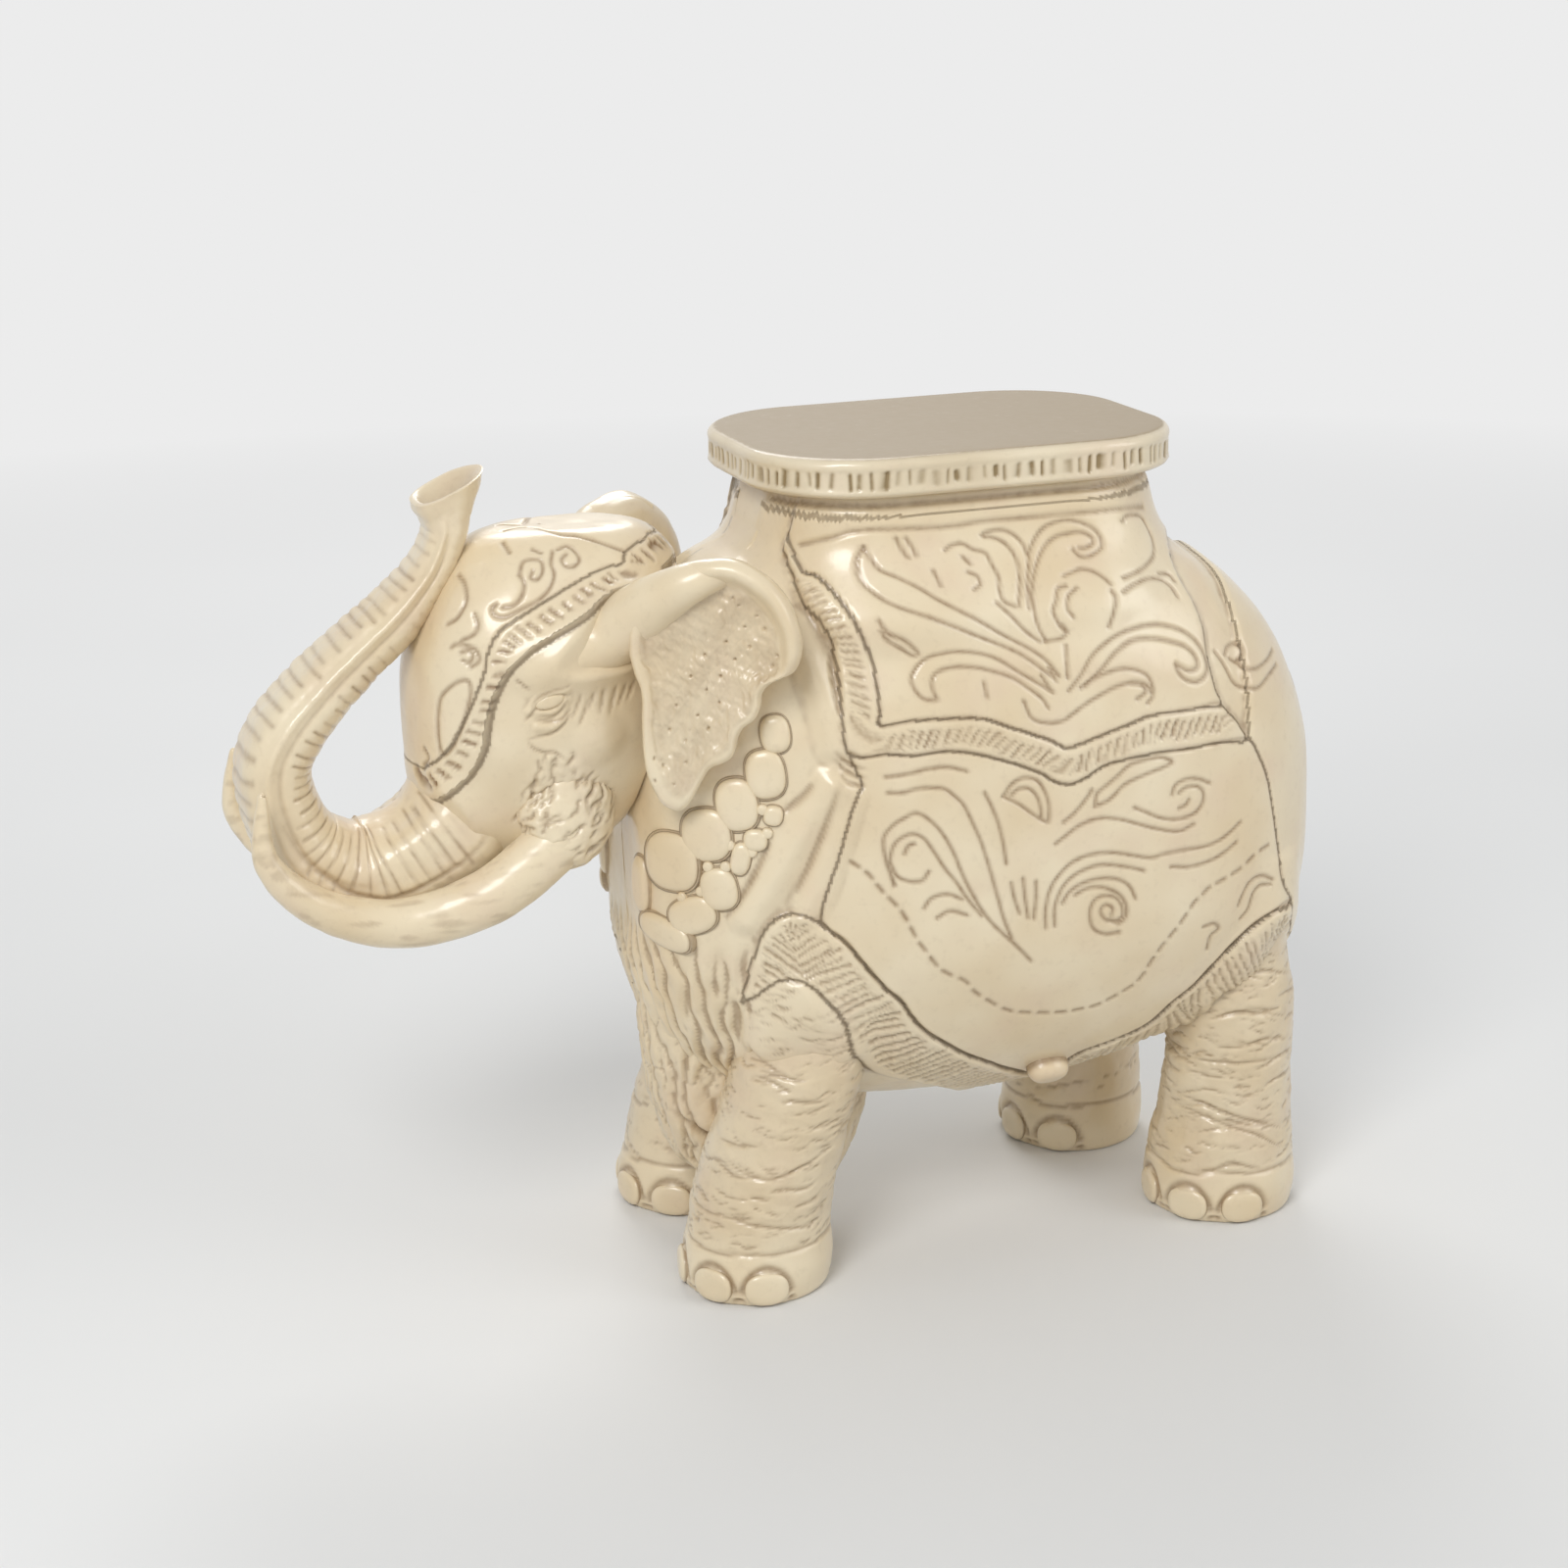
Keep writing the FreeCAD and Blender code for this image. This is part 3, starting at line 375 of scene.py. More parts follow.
class Sheet:
    """A grid of surface points, how far each is raised, and how much wash lies on it."""

    def __init__(self, points, wraps, middle=None):
        self.base = points
        self.wraps = wraps
        self.shape = points.shape[:2]
        self.sense = 1
        if middle is None:
            middle = np.array([points[..., 0].mean(), 0, points[..., 2].mean()])
        self.sense = 1 if np.sum(self.normals_of(points) * (points - middle)) > 0 else -1
        self.normal = self.normals_of(points)
        self.height = np.zeros(self.shape)
        self.wash = np.zeros(self.shape)
        self.tree = None

    def normals_of(self, points):
        """Gives outward normals of the grid."""
        along = np.gradient(points, axis=0)
        if self.wraps:
            round_way = (np.roll(points, -1, axis=1) - np.roll(points, 1, axis=1)) / 2
        else:
            round_way = np.gradient(points, axis=1)
        return unit(np.cross(along, round_way)) * self.sense

    def grown(self):
        """Gives the points with their relief."""
        return self.base + self.normal * self.height[..., None]

    def ray_tree(self):
        """Makes a ray tree of the bare surface, its faces outward."""
        points = self.base.reshape(-1, 3)
        faces = turned_out(grid_quads(*self.shape, self.wraps), points, self.normal.reshape(-1, 3))
        return BVHTree.FromPolygons(points.tolist(), faces.tolist())

    def find(self, place):
        """Gives the row and column of the grid point nearest to a place."""
        if self.tree is None:
            points = self.base.reshape(-1, 3)
            self.tree = KDTree(len(points))
            for number, point in enumerate(points):
                self.tree.insert(point, number)
            self.tree.balance()
        return divmod(self.tree.find(place)[1], self.shape[1])

    def around(self, row, column):
        """Gives the grid steps down and across at a point."""
        above = min(row + 1, self.shape[0] - 1)
        below = max(row - 1, 0)
        down = (self.base[above, column] - self.base[below, column]) / (above - below)
        if self.wraps:
            return down, (self.base[row, (column + 1) % self.shape[1]] - self.base[row, column - 1]) / 2
        after = min(column + 1, self.shape[1] - 1)
        before = max(column - 1, 0)
        return down, (self.base[row, after] - self.base[row, before]) / (after - before)

    def spots(self, line):
        """Gives the exact row and column of places on the surface."""
        result = []
        for place in line:
            row, column = self.find(place)
            down, across = self.around(row, column)
            offset = place - self.base[row, column]
            table = np.array([[down @ down, down @ across], [down @ across, across @ across]])
            shift = np.linalg.solve(table + np.eye(2) * 1e-12, [offset @ down, offset @ across])
            result.append((row + shift[0], column + shift[1]))
        return np.array(result)

    def nearest(self, line, reach):
        """Gives each grid point's distance to a line, at most reach, and the nearest sample of the line."""
        gaps = np.full(self.shape, reach)
        samples = np.zeros(self.shape, int)
        for number, place in enumerate(line):
            row, column = self.find(place)
            normal = self.normal[row, column]
            place = place - normal * np.dot(place - self.base[row, column], normal)
            if np.linalg.norm(place - self.base[row, column]) > reach + STRAY:
                continue
            down, across = self.around(row, column)
            span_row = int(reach / max(np.linalg.norm(down), 2e-4)) + 2
            span_column = min(int(reach / max(np.linalg.norm(across), 2e-4)) + 2, self.shape[1] // 2)
            rows = np.arange(max(row - span_row, 0), min(row + span_row + 1, self.shape[0]))
            columns = np.arange(column - span_column, column + span_column + 1)
            if self.wraps:
                columns = columns % self.shape[1]
            else:
                columns = columns[(columns >= 0) & (columns < self.shape[1])]
            window = np.ix_(rows, columns)
            gap = np.linalg.norm(self.base[window] - place, axis=-1)
            closer = gap < gaps[window]
            gaps[window] = np.where(closer, gap, gaps[window])
            samples[window] = np.where(closer, number, samples[window])
        return gaps, samples

    def incise(self, line, width=LINE_WIDTH, depth=LINE_DEPTH, wash=1.0, tapers=False):
        """Cuts a round-bottomed line and leaves wash in it."""
        if not len(line):
            return
        gap, sample = self.nearest(line, width * 2.2)
        profile = groove(gap, width) * (gap < width * 2.2)
        if tapers:
            profile *= np.sin(math.pi * (sample + 0.5) / len(line)) ** 0.6
        self.press(profile, depth, wash)

    def stain(self, wash):
        """Lays wash down to at least the given strength."""
        self.wash = np.maximum(self.wash, wash)

    def press(self, profile, depth, wash):
        """Presses a profile in and leaves wash in it."""
        self.height -= depth * profile
        self.stain(wash * profile)

    def roughen(self, rise, *grain):
        """Raises and lowers the surface in smooth irregular hills."""
        self.height += rise * hills(self.base, *grain)

    def swell(self, line, width, rise):
        """Raises a broad soft ridge along a line, or sinks it where the rise is negative."""
        if len(line):
            self.height += rise * (1 - soft_step(self.nearest(line, width)[0], 0, width))

    def mask(self, outline):
        """Says which grid points lie inside an outline on the surface."""
        rows, columns = np.indices(self.shape)
        points = np.stack([rows.ravel(), columns.ravel()], axis=-1).astype(float)
        return inside(self.spots(outline), points).reshape(self.shape)

    def settle_wash(self, rounds=4, strength=0.75):
        """Lets wash gather wherever the relief is hollow."""
        hollow = softened(self.height, rounds, self.wraps) - self.height
        self.stain(strength * soft_step(hollow, 0.06 * MM, 0.45 * MM))


def strokes(spots, normals, way, count, length, seed, bend=0.12):
    """Lays short wavering lines at random spots of a surface, each along the given way."""
    source = np.random.RandomState(seed)
    lines = []
    for number in source.choice(len(spots), count):
        normal = normals[number]
        lengthwise = way(spots[number])
        lengthwise = unit(lengthwise - normal * np.dot(lengthwise, normal))
        sideways = np.cross(normal, lengthwise)
        reach = length * source.uniform(0.45, 1.35)
        share = np.linspace(-0.5, 0.5, int(reach / (1.2 * MM)) + 2)
        wave = np.sin(share * source.uniform(3, 7) + source.uniform(0, 6)) * reach * bend
        tilt = share * reach * source.normal() * bend
        lines.append(
            spots[number] + lengthwise * (share * reach)[:, None] + sideways * (wave + tilt)[:, None])
    return lines


def cut_strokes(sheet, where, way, count, length, width, depth, wash, seed, bend=0.12):
    """Cuts short wavering tapered lines at random over the chosen part of a sheet."""
    lines = strokes(sheet.base[where], sheet.normal[where], way, count, length, seed, bend)
    source = np.random.RandomState(seed + 1)
    for line in lines:
        strength = source.uniform(0.5, 1.1)
        sheet.incise(line, width * (0.75 + 0.35 * strength), depth * strength, wash * strength, True)


class Skin:
    """A smooth surface found by rays sent in to an axis, which swing towards the axis at its two ends."""

    def __init__(self, tree, centre, axes, half_length, far, blur):
        self.axes = np.array(axes, float)
        self.centre = np.array(centre)
        self.half_length = half_length
        self.far = far
        self.tilt = np.linspace(-math.pi / 2, math.pi / 2, PROBE_ROWS)
        self.turn = np.linspace(-math.pi, math.pi, PROBE_COLUMNS, endpoint=False)
        self.radius = softened(self.filled(self.probed(tree)), blur, True)
        self.close_ends()

    def probed(self, tree):
        """Sends the rays in and gives how far from the axis each one lands."""
        origin, direction = self.rays(self.tilt[:, None], self.turn[None, :])
        radius = np.full((PROBE_ROWS, PROBE_COLUMNS), np.nan)
        for row in range(PROBE_ROWS):
            for column in range(PROBE_COLUMNS):
                out = direction[row, column]
                hit = tree.ray_cast(Vector(origin[row, column] + out * self.far), Vector(-out), self.far)
                if hit[0] is not None:
                    radius[row, column] = self.far - hit[3]
        radius[radius < np.nanmedian(radius) * 0.3] = np.nan
        return radius

    def close_ends(self):
        """Makes all columns meet at each pole."""
        self.radius[0] = self.radius[0].mean()
        self.radius[-1] = self.radius[-1].mean()

    def drape_over(self, tree, cap, low, high):
        """Lets the skin run out over what lies under it, by a cap at most, which fades between two turns."""
        over = self.filled(self.probed(tree))
        down = -np.degrees(self.turn)
        side = np.where(down > 90, 180 - down, down)
        most = cap * (1 - soft_step(side, low, high))[None, :] * np.ones((PROBE_ROWS, 1))
        self.radius = softened(np.maximum(self.radius, np.minimum(over, self.radius + most)), 2, True)
        self.close_ends()

    def rays(self, tilt, turn):
        """Gives ray origins on the axis and their outward directions."""
        tilt, turn = np.broadcast_arrays(tilt, turn)
        axis, first, second = self.axes
        origin = self.centre + self.half_length * np.sin(tilt)[..., None] * axis
        side = np.cos(turn)[..., None] * first + np.sin(turn)[..., None] * second
        return origin, np.sin(tilt)[..., None] * axis + np.cos(tilt)[..., None] * side

    def filled(self, radius):
        """Fills places that no ray hit with the mean of their neighbours."""
        while np.isnan(radius).any():
            padded = np.pad(radius, ((1, 1), (0, 0)), mode="edge")
            near = np.stack([
                padded[:-2], padded[2:], np.roll(radius, 1, axis=1), np.roll(radius, -1, axis=1)])
            known = (~np.isnan(near)).sum(axis=0)
            mean = np.where(known > 0, np.nansum(near, axis=0) / np.maximum(known, 1), np.nan)
            radius = np.where(np.isnan(radius), mean, radius)
        return radius

    def points(self, rows, columns):
        """Gives surface points at row and column numbers, smoothly between the samples."""
        down = blend_matrix(rows, PROBE_ROWS, False)
        over = blend_matrix(columns, PROBE_COLUMNS, True)
        radius = down @ self.radius @ over.T
        tilt = -math.pi / 2 + rows / (PROBE_ROWS - 1) * math.pi
        turn = -math.pi + columns / PROBE_COLUMNS * 2 * math.pi
        origin, direction = self.rays(tilt[:, None], turn[None, :])
        return origin + direction * radius[..., None]

    def patch(self, tilts, turns, step, column_step=None):
        """Makes a grid between two tilts and two turns, given in degrees, its lines about a step apart."""
        rows = (np.linspace(*tilts, 300) + 90) / 180 * (PROBE_ROWS - 1)
        columns = (np.linspace(*turns, 300) + 180) / 360 * PROBE_COLUMNS
        wraps = turns[1] - turns[0] >= 360
        side = self.points(rows, columns[150:151])[:, 0]
        widest = rows[np.argmin(np.abs(rows - (PROBE_ROWS - 1) / 2))]
        girth = self.points(np.array([widest]), columns)[0]
        rows = resampled(rows, side, step)
        columns = resampled(columns, girth, column_step or step)
        if wraps:
            columns = columns[:-1]
        return Sheet(self.points(rows, columns), wraps, self.centre)


def grid_quads(rows, columns, wraps):
    """Gives the quads of a grid as point numbers."""
    row = np.arange(rows - 1)[:, None]
    column = np.arange(columns if wraps else columns - 1)[None, :]
    after = (column + 1) % columns
    return np.stack(np.broadcast_arrays(
        row * columns + column, row * columns + after, (row + 1) * columns + after,
        (row + 1) * columns + column), axis=-1).reshape(-1, 4)


def turned_out(faces, points, normals):
    """Turns the faces over if they look the other way from the normals."""
    corner = points[faces]
    look = np.cross(corner[:, 2] - corner[:, 0], corner[:, 3] - corner[:, 1])
    return faces[:, ::-1] if np.sum(look * normals[faces[:, 0]]) < 0 else faces


class Part:
    """Points, faces, wash and normals that are gathered into one piece."""

    def __init__(self):
        self.forms = []

    def add(self, points, faces, wash, normals):
        """Adds one closed form."""
        self.forms.append((points, [[int(corner) for corner in face] for face in faces], wash, normals))

    def add_all(self, other):
        """Adds the forms of another part."""
        self.forms.extend(other.forms)

    def mirrored(self):
        """Gives the mirror image of the part across the middle plane."""
        twin = Part()
        flip = flipped(-1)
        for points, faces, wash, normals in self.forms:
            twin.forms.append((points * flip, [face[::-1] for face in faces], wash, normals * flip))
        return twin

    def add_shell(self, sheet, chosen, wall=WALL):
        """Adds a closed thin shell of the chosen quads: the outside, an inside a wall below, and the rim."""
        quads = grid_quads(*sheet.shape, sheet.wraps)
        faces = quads[chosen.ravel()[quads].sum(axis=1) >= 3]
        if not len(faces):
            return
        points = sheet.grown()
        normals = sheet.normals_of(points).reshape(-1, 3)
        points = points.reshape(-1, 3)
        used = np.unique(faces)
        number = np.full(len(points), -1)
        number[used] = np.arange(len(used))
        outer = turned_out(number[faces], points[used], normals[used])
        count = len(used)
        sides = np.concatenate([outer[:, [0, 1]], outer[:, [1, 2]], outer[:, [2, 3]], outer[:, [3, 0]]])
        edge = sides[~np.isin(sides[:, 0] * count + sides[:, 1], sides[:, 1] * count + sides[:, 0])]
        rim = np.stack([edge[:, 1], edge[:, 0], edge[:, 0] + count, edge[:, 1] + count], axis=-1)
        below = points[used] - sheet.normal.reshape(-1, 3)[used] * wall
        wash = sheet.wash.ravel()[used]
        self.add(
            np.concatenate([points[used], below]), np.concatenate([outer, outer[:, ::-1] + count, rim]),
            np.concatenate([wash, wash]), np.concatenate([normals[used], -normals[used]]))

    def add_closed(self, sheet):
        """Adds a wrapped grid with its relief, its two ends fanned shut."""
        points = sheet.grown()
        normals = sheet.normals_of(points)
        rows, columns = sheet.shape
        ends = np.stack([points[0].mean(axis=0), points[-1].mean(axis=0)])
        axis = unit(ends[1] - ends[0])
        flat = np.concatenate([points.reshape(-1, 3), ends])
        looks = np.concatenate([normals.reshape(-1, 3), np.stack([-axis, axis])])
        quads = turned_out(grid_quads(rows, columns, True), flat, looks)
        bottom = rows * columns
        top_row = (rows - 1) * columns
        forward = quads[0, 1] == 1
        caps = []
        for column in range(columns):
            pair = ((column + 1) % columns, column)
            low, high = (pair, pair[::-1]) if forward else (pair[::-1], pair)
            caps.append((low[0], low[1], bottom))
            caps.append((top_row + high[0], top_row + high[1], bottom + 1))
        wash = np.concatenate([sheet.wash.ravel(), [sheet.wash[0].mean(), sheet.wash[-1].mean()]])
        self.add(flat, list(quads) + caps, wash, looks)

    def make(self, name):
        """Makes the mesh object."""
        faces = []
        count = 0
        for points, own, _, _ in self.forms:
            faces.extend([count + corner for corner in face] for face in own)
            count += len(points)
        mesh = bpy.data.meshes.new(name)
        mesh.from_pydata(np.concatenate([form[0] for form in self.forms]).tolist(), [], faces)
        mesh.polygons.foreach_set("use_smooth", np.ones(len(mesh.polygons), bool))
        layer = mesh.attributes.new("wash", "FLOAT", "POINT")
        layer.data.foreach_set("value", np.concatenate([form[2] for form in self.forms]).astype(np.float32))
        mesh.normals_split_custom_set_from_vertices(np.concatenate([form[3] for form in self.forms]).tolist())
        piece = bpy.data.objects.new(name, mesh)
        bpy.context.scene.collection.objects.link(piece)
        return piece


def closed_part(sheet):
    """Gives a part that is one closed sheet."""
    part = Part()
    part.add_closed(sheet)
    return part


class Value:
    """A shader value that can be added, multiplied and spread over a range."""

    def __init__(self, tree, socket):
        self.tree = tree
        self.socket = socket

    def math(self, kind, *others):
        """Joins values with one maths node."""
        node = self.tree.nodes.new("ShaderNodeMath")
        node.operation = kind
        for slot, value in zip(node.inputs, (self, *others)):
            plug(self.tree, slot, value)
        return Value(self.tree, node.outputs[0])

    def __add__(self, other):
        return self.math("ADD", other)

    def __mul__(self, other):
        return self.math("MULTIPLY", other)

    __radd__ = __add__
    __rmul__ = __mul__

    def limited(self, low, high):
        """Spreads the span from low to high over 0 to 1 and cuts off the rest."""
        node = self.tree.nodes.new("ShaderNodeMapRange")
        self.tree.links.new(self.socket, node.inputs["Value"])
        node.inputs["From Min"].default_value = low
        node.inputs["From Max"].default_value = high
        return Value(self.tree, node.outputs["Result"])


def plug(tree, slot, value):
    """Links a value or a socket to a slot, or sets the slot's own value."""
    if isinstance(value, Value):
        value = value.socket
    if isinstance(value, bpy.types.NodeSocket):
        tree.links.new(value, slot)
    else:
        slot.default_value = value


class Shader:
    """The node tree of a material or of the world."""

    def __init__(self, owner):
        owner.use_nodes = True
        self.owner = owner
        self.tree = owner.node_tree
        self.tree.nodes.clear()

    def node(self, kind, settings=(), **inputs):
        """Adds a node with its settings, and then its values and links."""
        node = self.tree.nodes.new(kind)
        for name, value in dict(settings).items():
            setattr(node, name, value)
        for name, value in inputs.items():
            plug(self.tree, node.inputs[name.replace("_", " ")], value)
        return node

    def noise(self, size, detail=3.0, roughness=0.55):
        """Gives noise over the object's own places, its grain of the given size."""
        place = self.node("ShaderNodeTexCoord").outputs["Object"]
        node = self.node(
            "ShaderNodeTexNoise", Vector=place, Scale=1 / size, Detail=detail, Roughness=roughness)
        return Value(self.tree, node.outputs["Fac"])

    def mix(self, share, first, second):
        """Mixes two colours."""
        node = self.node("ShaderNodeMix", {"data_type": "RGBA"})
        for number, value in ((0, share), (6, first), (7, second)):
            plug(self.tree, node.inputs[number], value)
        return node.outputs[2]

    def finish(self, **inputs):
        """Ends the tree in a glazed surface."""
        surface = self.node("ShaderNodeBsdfPrincipled", **inputs)
        self.node("ShaderNodeOutputMaterial", Surface=surface.outputs[0])
        return self.owner


def colour(red, green, blue):
    """Turns a colour as a screen shows it into the linear colour that the renderer wants."""
    linear = [((value / 255 + 0.055) / 1.055) ** 2.4 for value in (red, green, blue)]
    return (*linear, 1.0)


def glaze(name, pale, warm, wash_and_shade_colour):
    """Makes a glossy glaze: pale on the heights, brown wash in the lines and painted shade wherever the wash
    attribute carries it, thin speckle and orange peel.
    """
    shader = Shader(bpy.data.materials.new(name))
    wash = Value(shader.tree, shader.node("ShaderNodeAttribute", {"attribute_name": "wash"}).outputs["Fac"])
    tone = shader.noise(60 * MM, 2.0).limited(0.35, 0.68)
    grain = shader.noise(5 * MM, 4.0, 0.6)
    speck = shader.noise(1.3 * MM, 2.0)
    body = shader.mix(tone, pale, warm)
    blush = shader.noise(34 * MM, 3.0, 0.5)
    body = shader.mix(blush.limited(0.52, 0.74) * 0.30, body, BLUSH)
    body = shader.mix(grain.limited(0.55, 0.85) * 0.14, body, wash_and_shade_colour)
    thin = wash * (grain.limited(0.2, 0.75) * 0.45 + 0.65)
    body = shader.mix(thin.limited(0.0, 1.15), body, wash_and_shade_colour)
    bump = shader.node(
        "ShaderNodeBump", Strength=0.2, Distance=0.3 * MM, Height=speck * 0.5 + grain * 1.2)
    return shader.finish(
        Base_Color=body, Roughness=(wash * 0.2 + grain * 0.12) + 0.26, IOR=1.5, Coat_Weight=0.4,
        Coat_Roughness=0.14, Normal=bump.outputs["Normal"])


def seen_directly(shader):
    """Gives 1 for what the camera sees, also mirrored or through glass, and 0 for the light itself."""
    path = shader.node("ShaderNodeLightPath")
    sight_ray = Value(shader.tree, path.outputs["Is Camera Ray"])
    for name in ("Is Glossy Ray", "Is Transmission Ray"):
        sight_ray = sight_ray.math("MAXIMUM", path.outputs[name])
    return sight_ray


def make_floor():
    """Makes the pale floor, which turns into the plain backdrop further off."""
    shader = Shader(bpy.data.materials.new("floor_paint"))
    tone = shader.noise(FLOOR_GRAIN, 2.0).limited(0.3, 0.7)
    base = shader.mix(tone, FLOOR_PALE, FLOOR_WARM)
    painted = shader.node("ShaderNodeBsdfPrincipled", Base_Color=base, Roughness=0.8)
    plain = shader.node("ShaderNodeEmission", Color=BACKDROP, Strength=1.0)
    place = shader.node("ShaderNodeTexCoord").outputs["Object"]
    away = shader.node("ShaderNodeVectorMath", {"operation": "LENGTH"}, Vector=place).outputs["Value"]
    share = Value(shader.tree, away).limited(FLOOR_NEAR, FLOOR_FAR) * seen_directly(shader)
    both = shader.node("ShaderNodeMixShader", Fac=share)
    shader.tree.links.new(painted.outputs[0], both.inputs[1])
    shader.tree.links.new(plain.outputs[0], both.inputs[2])
    shader.node("ShaderNodeOutputMaterial", Surface=both.outputs[0])
    reach = FLOOR_REACH
    mesh = bpy.data.meshes.new("floor")
    corners = [(-reach, -reach, 0), (reach, -reach, 0), (reach, reach, 0), (-reach, reach, 0)]
    mesh.from_pydata(corners, [], [(0, 1, 2, 3)])
    mesh.materials.append(shader.owner)
    floor = placed("floor", mesh)


def make_world():
    """Makes the even light from all round, with a plain pale backdrop behind it."""
    world = bpy.data.worlds.new("world")
    shader = Shader(world)
    light = shader.node("ShaderNodeBackground", Color=SKY, Strength=SKY_STRENGTH)
    plain = shader.node("ShaderNodeBackground", Color=BACKDROP, Strength=1.0)
    both = shader.node("ShaderNodeMixShader", Fac=seen_directly(shader))
    shader.tree.links.new(light.outputs[0], both.inputs[1])
    shader.tree.links.new(plain.outputs[0], both.inputs[2])
    shader.node("ShaderNodeOutputWorld", Surface=both.outputs[0])
    bpy.context.scene.world = world


# The studio: floor and backdrop colours, where the floor turns plain, and the light from all round
FLOOR_PALE = colour(228, 228, 227)
FLOOR_WARM = colour(223, 223, 222)
BACKDROP = colour(236, 236, 236)
SKY = (0.96, 0.98, 1.0, 1.0)
SKY_STRENGTH = 0.5
FLOOR_GRAIN = 0.8
FLOOR_NEAR = 0.75
FLOOR_FAR = 2.6
FLOOR_REACH = 40.0

CREAM = colour(229, 214, 184)
BLUSH = colour(216, 190, 166)
CREAM_WARM = colour(219, 199, 164)
# Brown wash of the lines, also the colour of the painted shade in the nostril cup
BROWN_WASH_AND_SHADE = colour(140, 112, 80)
SEAT_PALE = colour(226, 212, 184)
SEAT_WARM = colour(214, 198, 168)
# Brown wash of the seat's cuts, also the colour of the painted shade over the seat top
SEAT_WASH_AND_SHADE = colour(143, 122, 84)


def finish_piece(piece, look, *nodes, slot="cream_glaze"):
    """Gives a piece its glaze and says what it replaces and rides on."""
    piece.data.materials.clear()
    piece.data.materials.append(look)
    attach(piece, "root")
    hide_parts(*nodes)
    return piece


def keep(part, name, look, slot="cream_glaze"):
    """Makes the piece that stands for one solid."""
    return finish_piece(part.make(f"{name}_relief"), look, name, slot=slot)


# Outlines of the cloths on the elephant's left side, in pixels
COLLAR_LINE_PIXELS = [(820, 557), (850, 549), (880, 541), (960, 538), (1000, 532), (1060, 527), (1160, 518)]
SADDLE_FRONT_PIXELS = [
    (806, 545), (820, 583), (835, 590), (850, 605), (865, 625), (878, 645), (888, 670), (894, 700),
    (897, 725)]
SADDLE_BOTTOM_PIXELS = [
    (898, 740), (930, 735), (960, 733), (990, 732), (1010, 735), (1030, 742), (1050, 748), (1070, 755),
    (1085, 762), (1100, 758), (1120, 750), (1145, 740), (1170, 730), (1195, 726), (1220, 722), (1243, 719)]
SADDLE_REAR_PIXELS = [
    (1237, 700), (1230, 670), (1225, 640), (1215, 615), (1200, 590), (1190, 560), (1184, 520)]
SADDLE_TOP_PIXELS = [(1180, 470), (1060, 480), (950, 490), (830, 500)]
FRINGE_FRONT_PIXELS = [(800, 560), (820, 615), (838, 635), (848, 655), (855, 690), (858, 720), (861, 755)]
FRINGE_BOTTOM_PIXELS = [
    (866, 768), (880, 772), (905, 769), (930, 770), (960, 766), (985, 767), (1010, 772), (1035, 779),
    (1060, 788), (1075, 797), (1090, 799), (1105, 793), (1125, 780), (1150, 773), (1180, 767), (1210, 763),
    (1240, 757), (1268, 753)]
DRAPE_FRONT_PIXELS = [(880, 800), (870, 822), (862, 850), (855, 875), (846, 900), (840, 920), (838, 938)]
HEM_PIXELS = [
    (850, 951), (862, 960), (875, 975), (890, 992), (905, 1008), (918, 1018), (930, 1035), (945, 1050),
    (965, 1062), (985, 1072), (1010, 1080), (1030, 1086), (1050, 1090), (1068, 1089), (1088, 1076),
    (1105, 1067), (1130, 1058), (1155, 1048), (1175, 1036), (1195, 1018), (1215, 1002), (1235, 982),
    (1255, 962), (1275, 944), (1295, 930), (1312, 920)]
DRAPE_REAR_PIXELS = [(1305, 900), (1300, 870), (1290, 800), (1278, 765)]
DRAPE_FRINGE_PIXELS = [
    (757, 1022), (768, 1014), (780, 1006), (793, 998), (807, 996), (822, 999), (836, 1010), (850, 1026),
    (860, 1042), (868, 1070), (882, 1086), (900, 1093), (930, 1099), (960, 1104), (1000, 1112),
    (1040, 1122), (1070, 1126), (1100, 1116), (1130, 1100), (1160, 1082), (1195, 1055), (1225, 1034),
    (1245, 1012), (1265, 1000), (1290, 985), (1306, 974)]


FRINGE_CORNER_PIXELS = [
    (826, 934), (812, 931), (800, 933), (787, 941), (777, 955), (768, 980), (762, 1000), (757, 1022)]

# Smooth rolls and grooves over the near shoulder, in pixels
SHOULDER_LINES = [
    [(830, 798), (822, 809), (812, 819), (799, 829)],
    [(786, 858), (775, 882), (764, 903), (752, 922), (739, 938)],
    [(857, 795), (849, 822), (839, 850), (827, 880), (812, 912)],
    [(856, 640), (849, 668), (852, 700), (856, 730)],
]
SHOULDER_ROLLS = [
    [(812, 640), (824, 672), (836, 706), (846, 738), (851, 762)],
    [(846, 800), (826, 836), (804, 874), (782, 910), (764, 938)],
    [(864, 808), (856, 840), (846, 872), (836, 902), (826, 924)],
]
LEG_TOP_PIXELS = [
    (766, 1020), (772, 992), (784, 972), (798, 964), (812, 968), (828, 990), (848, 1016), (868, 1046),
    (864, 1078), (800, 1084), (764, 1062)]


STRAP_LINES = [
    [(851, 765), (860, 775), (872, 782), (884, 784)],
    [(853, 775), (861, 785), (872, 791), (884, 793)],
    [(856, 786), (863, 795), (873, 800), (882, 801)],
]

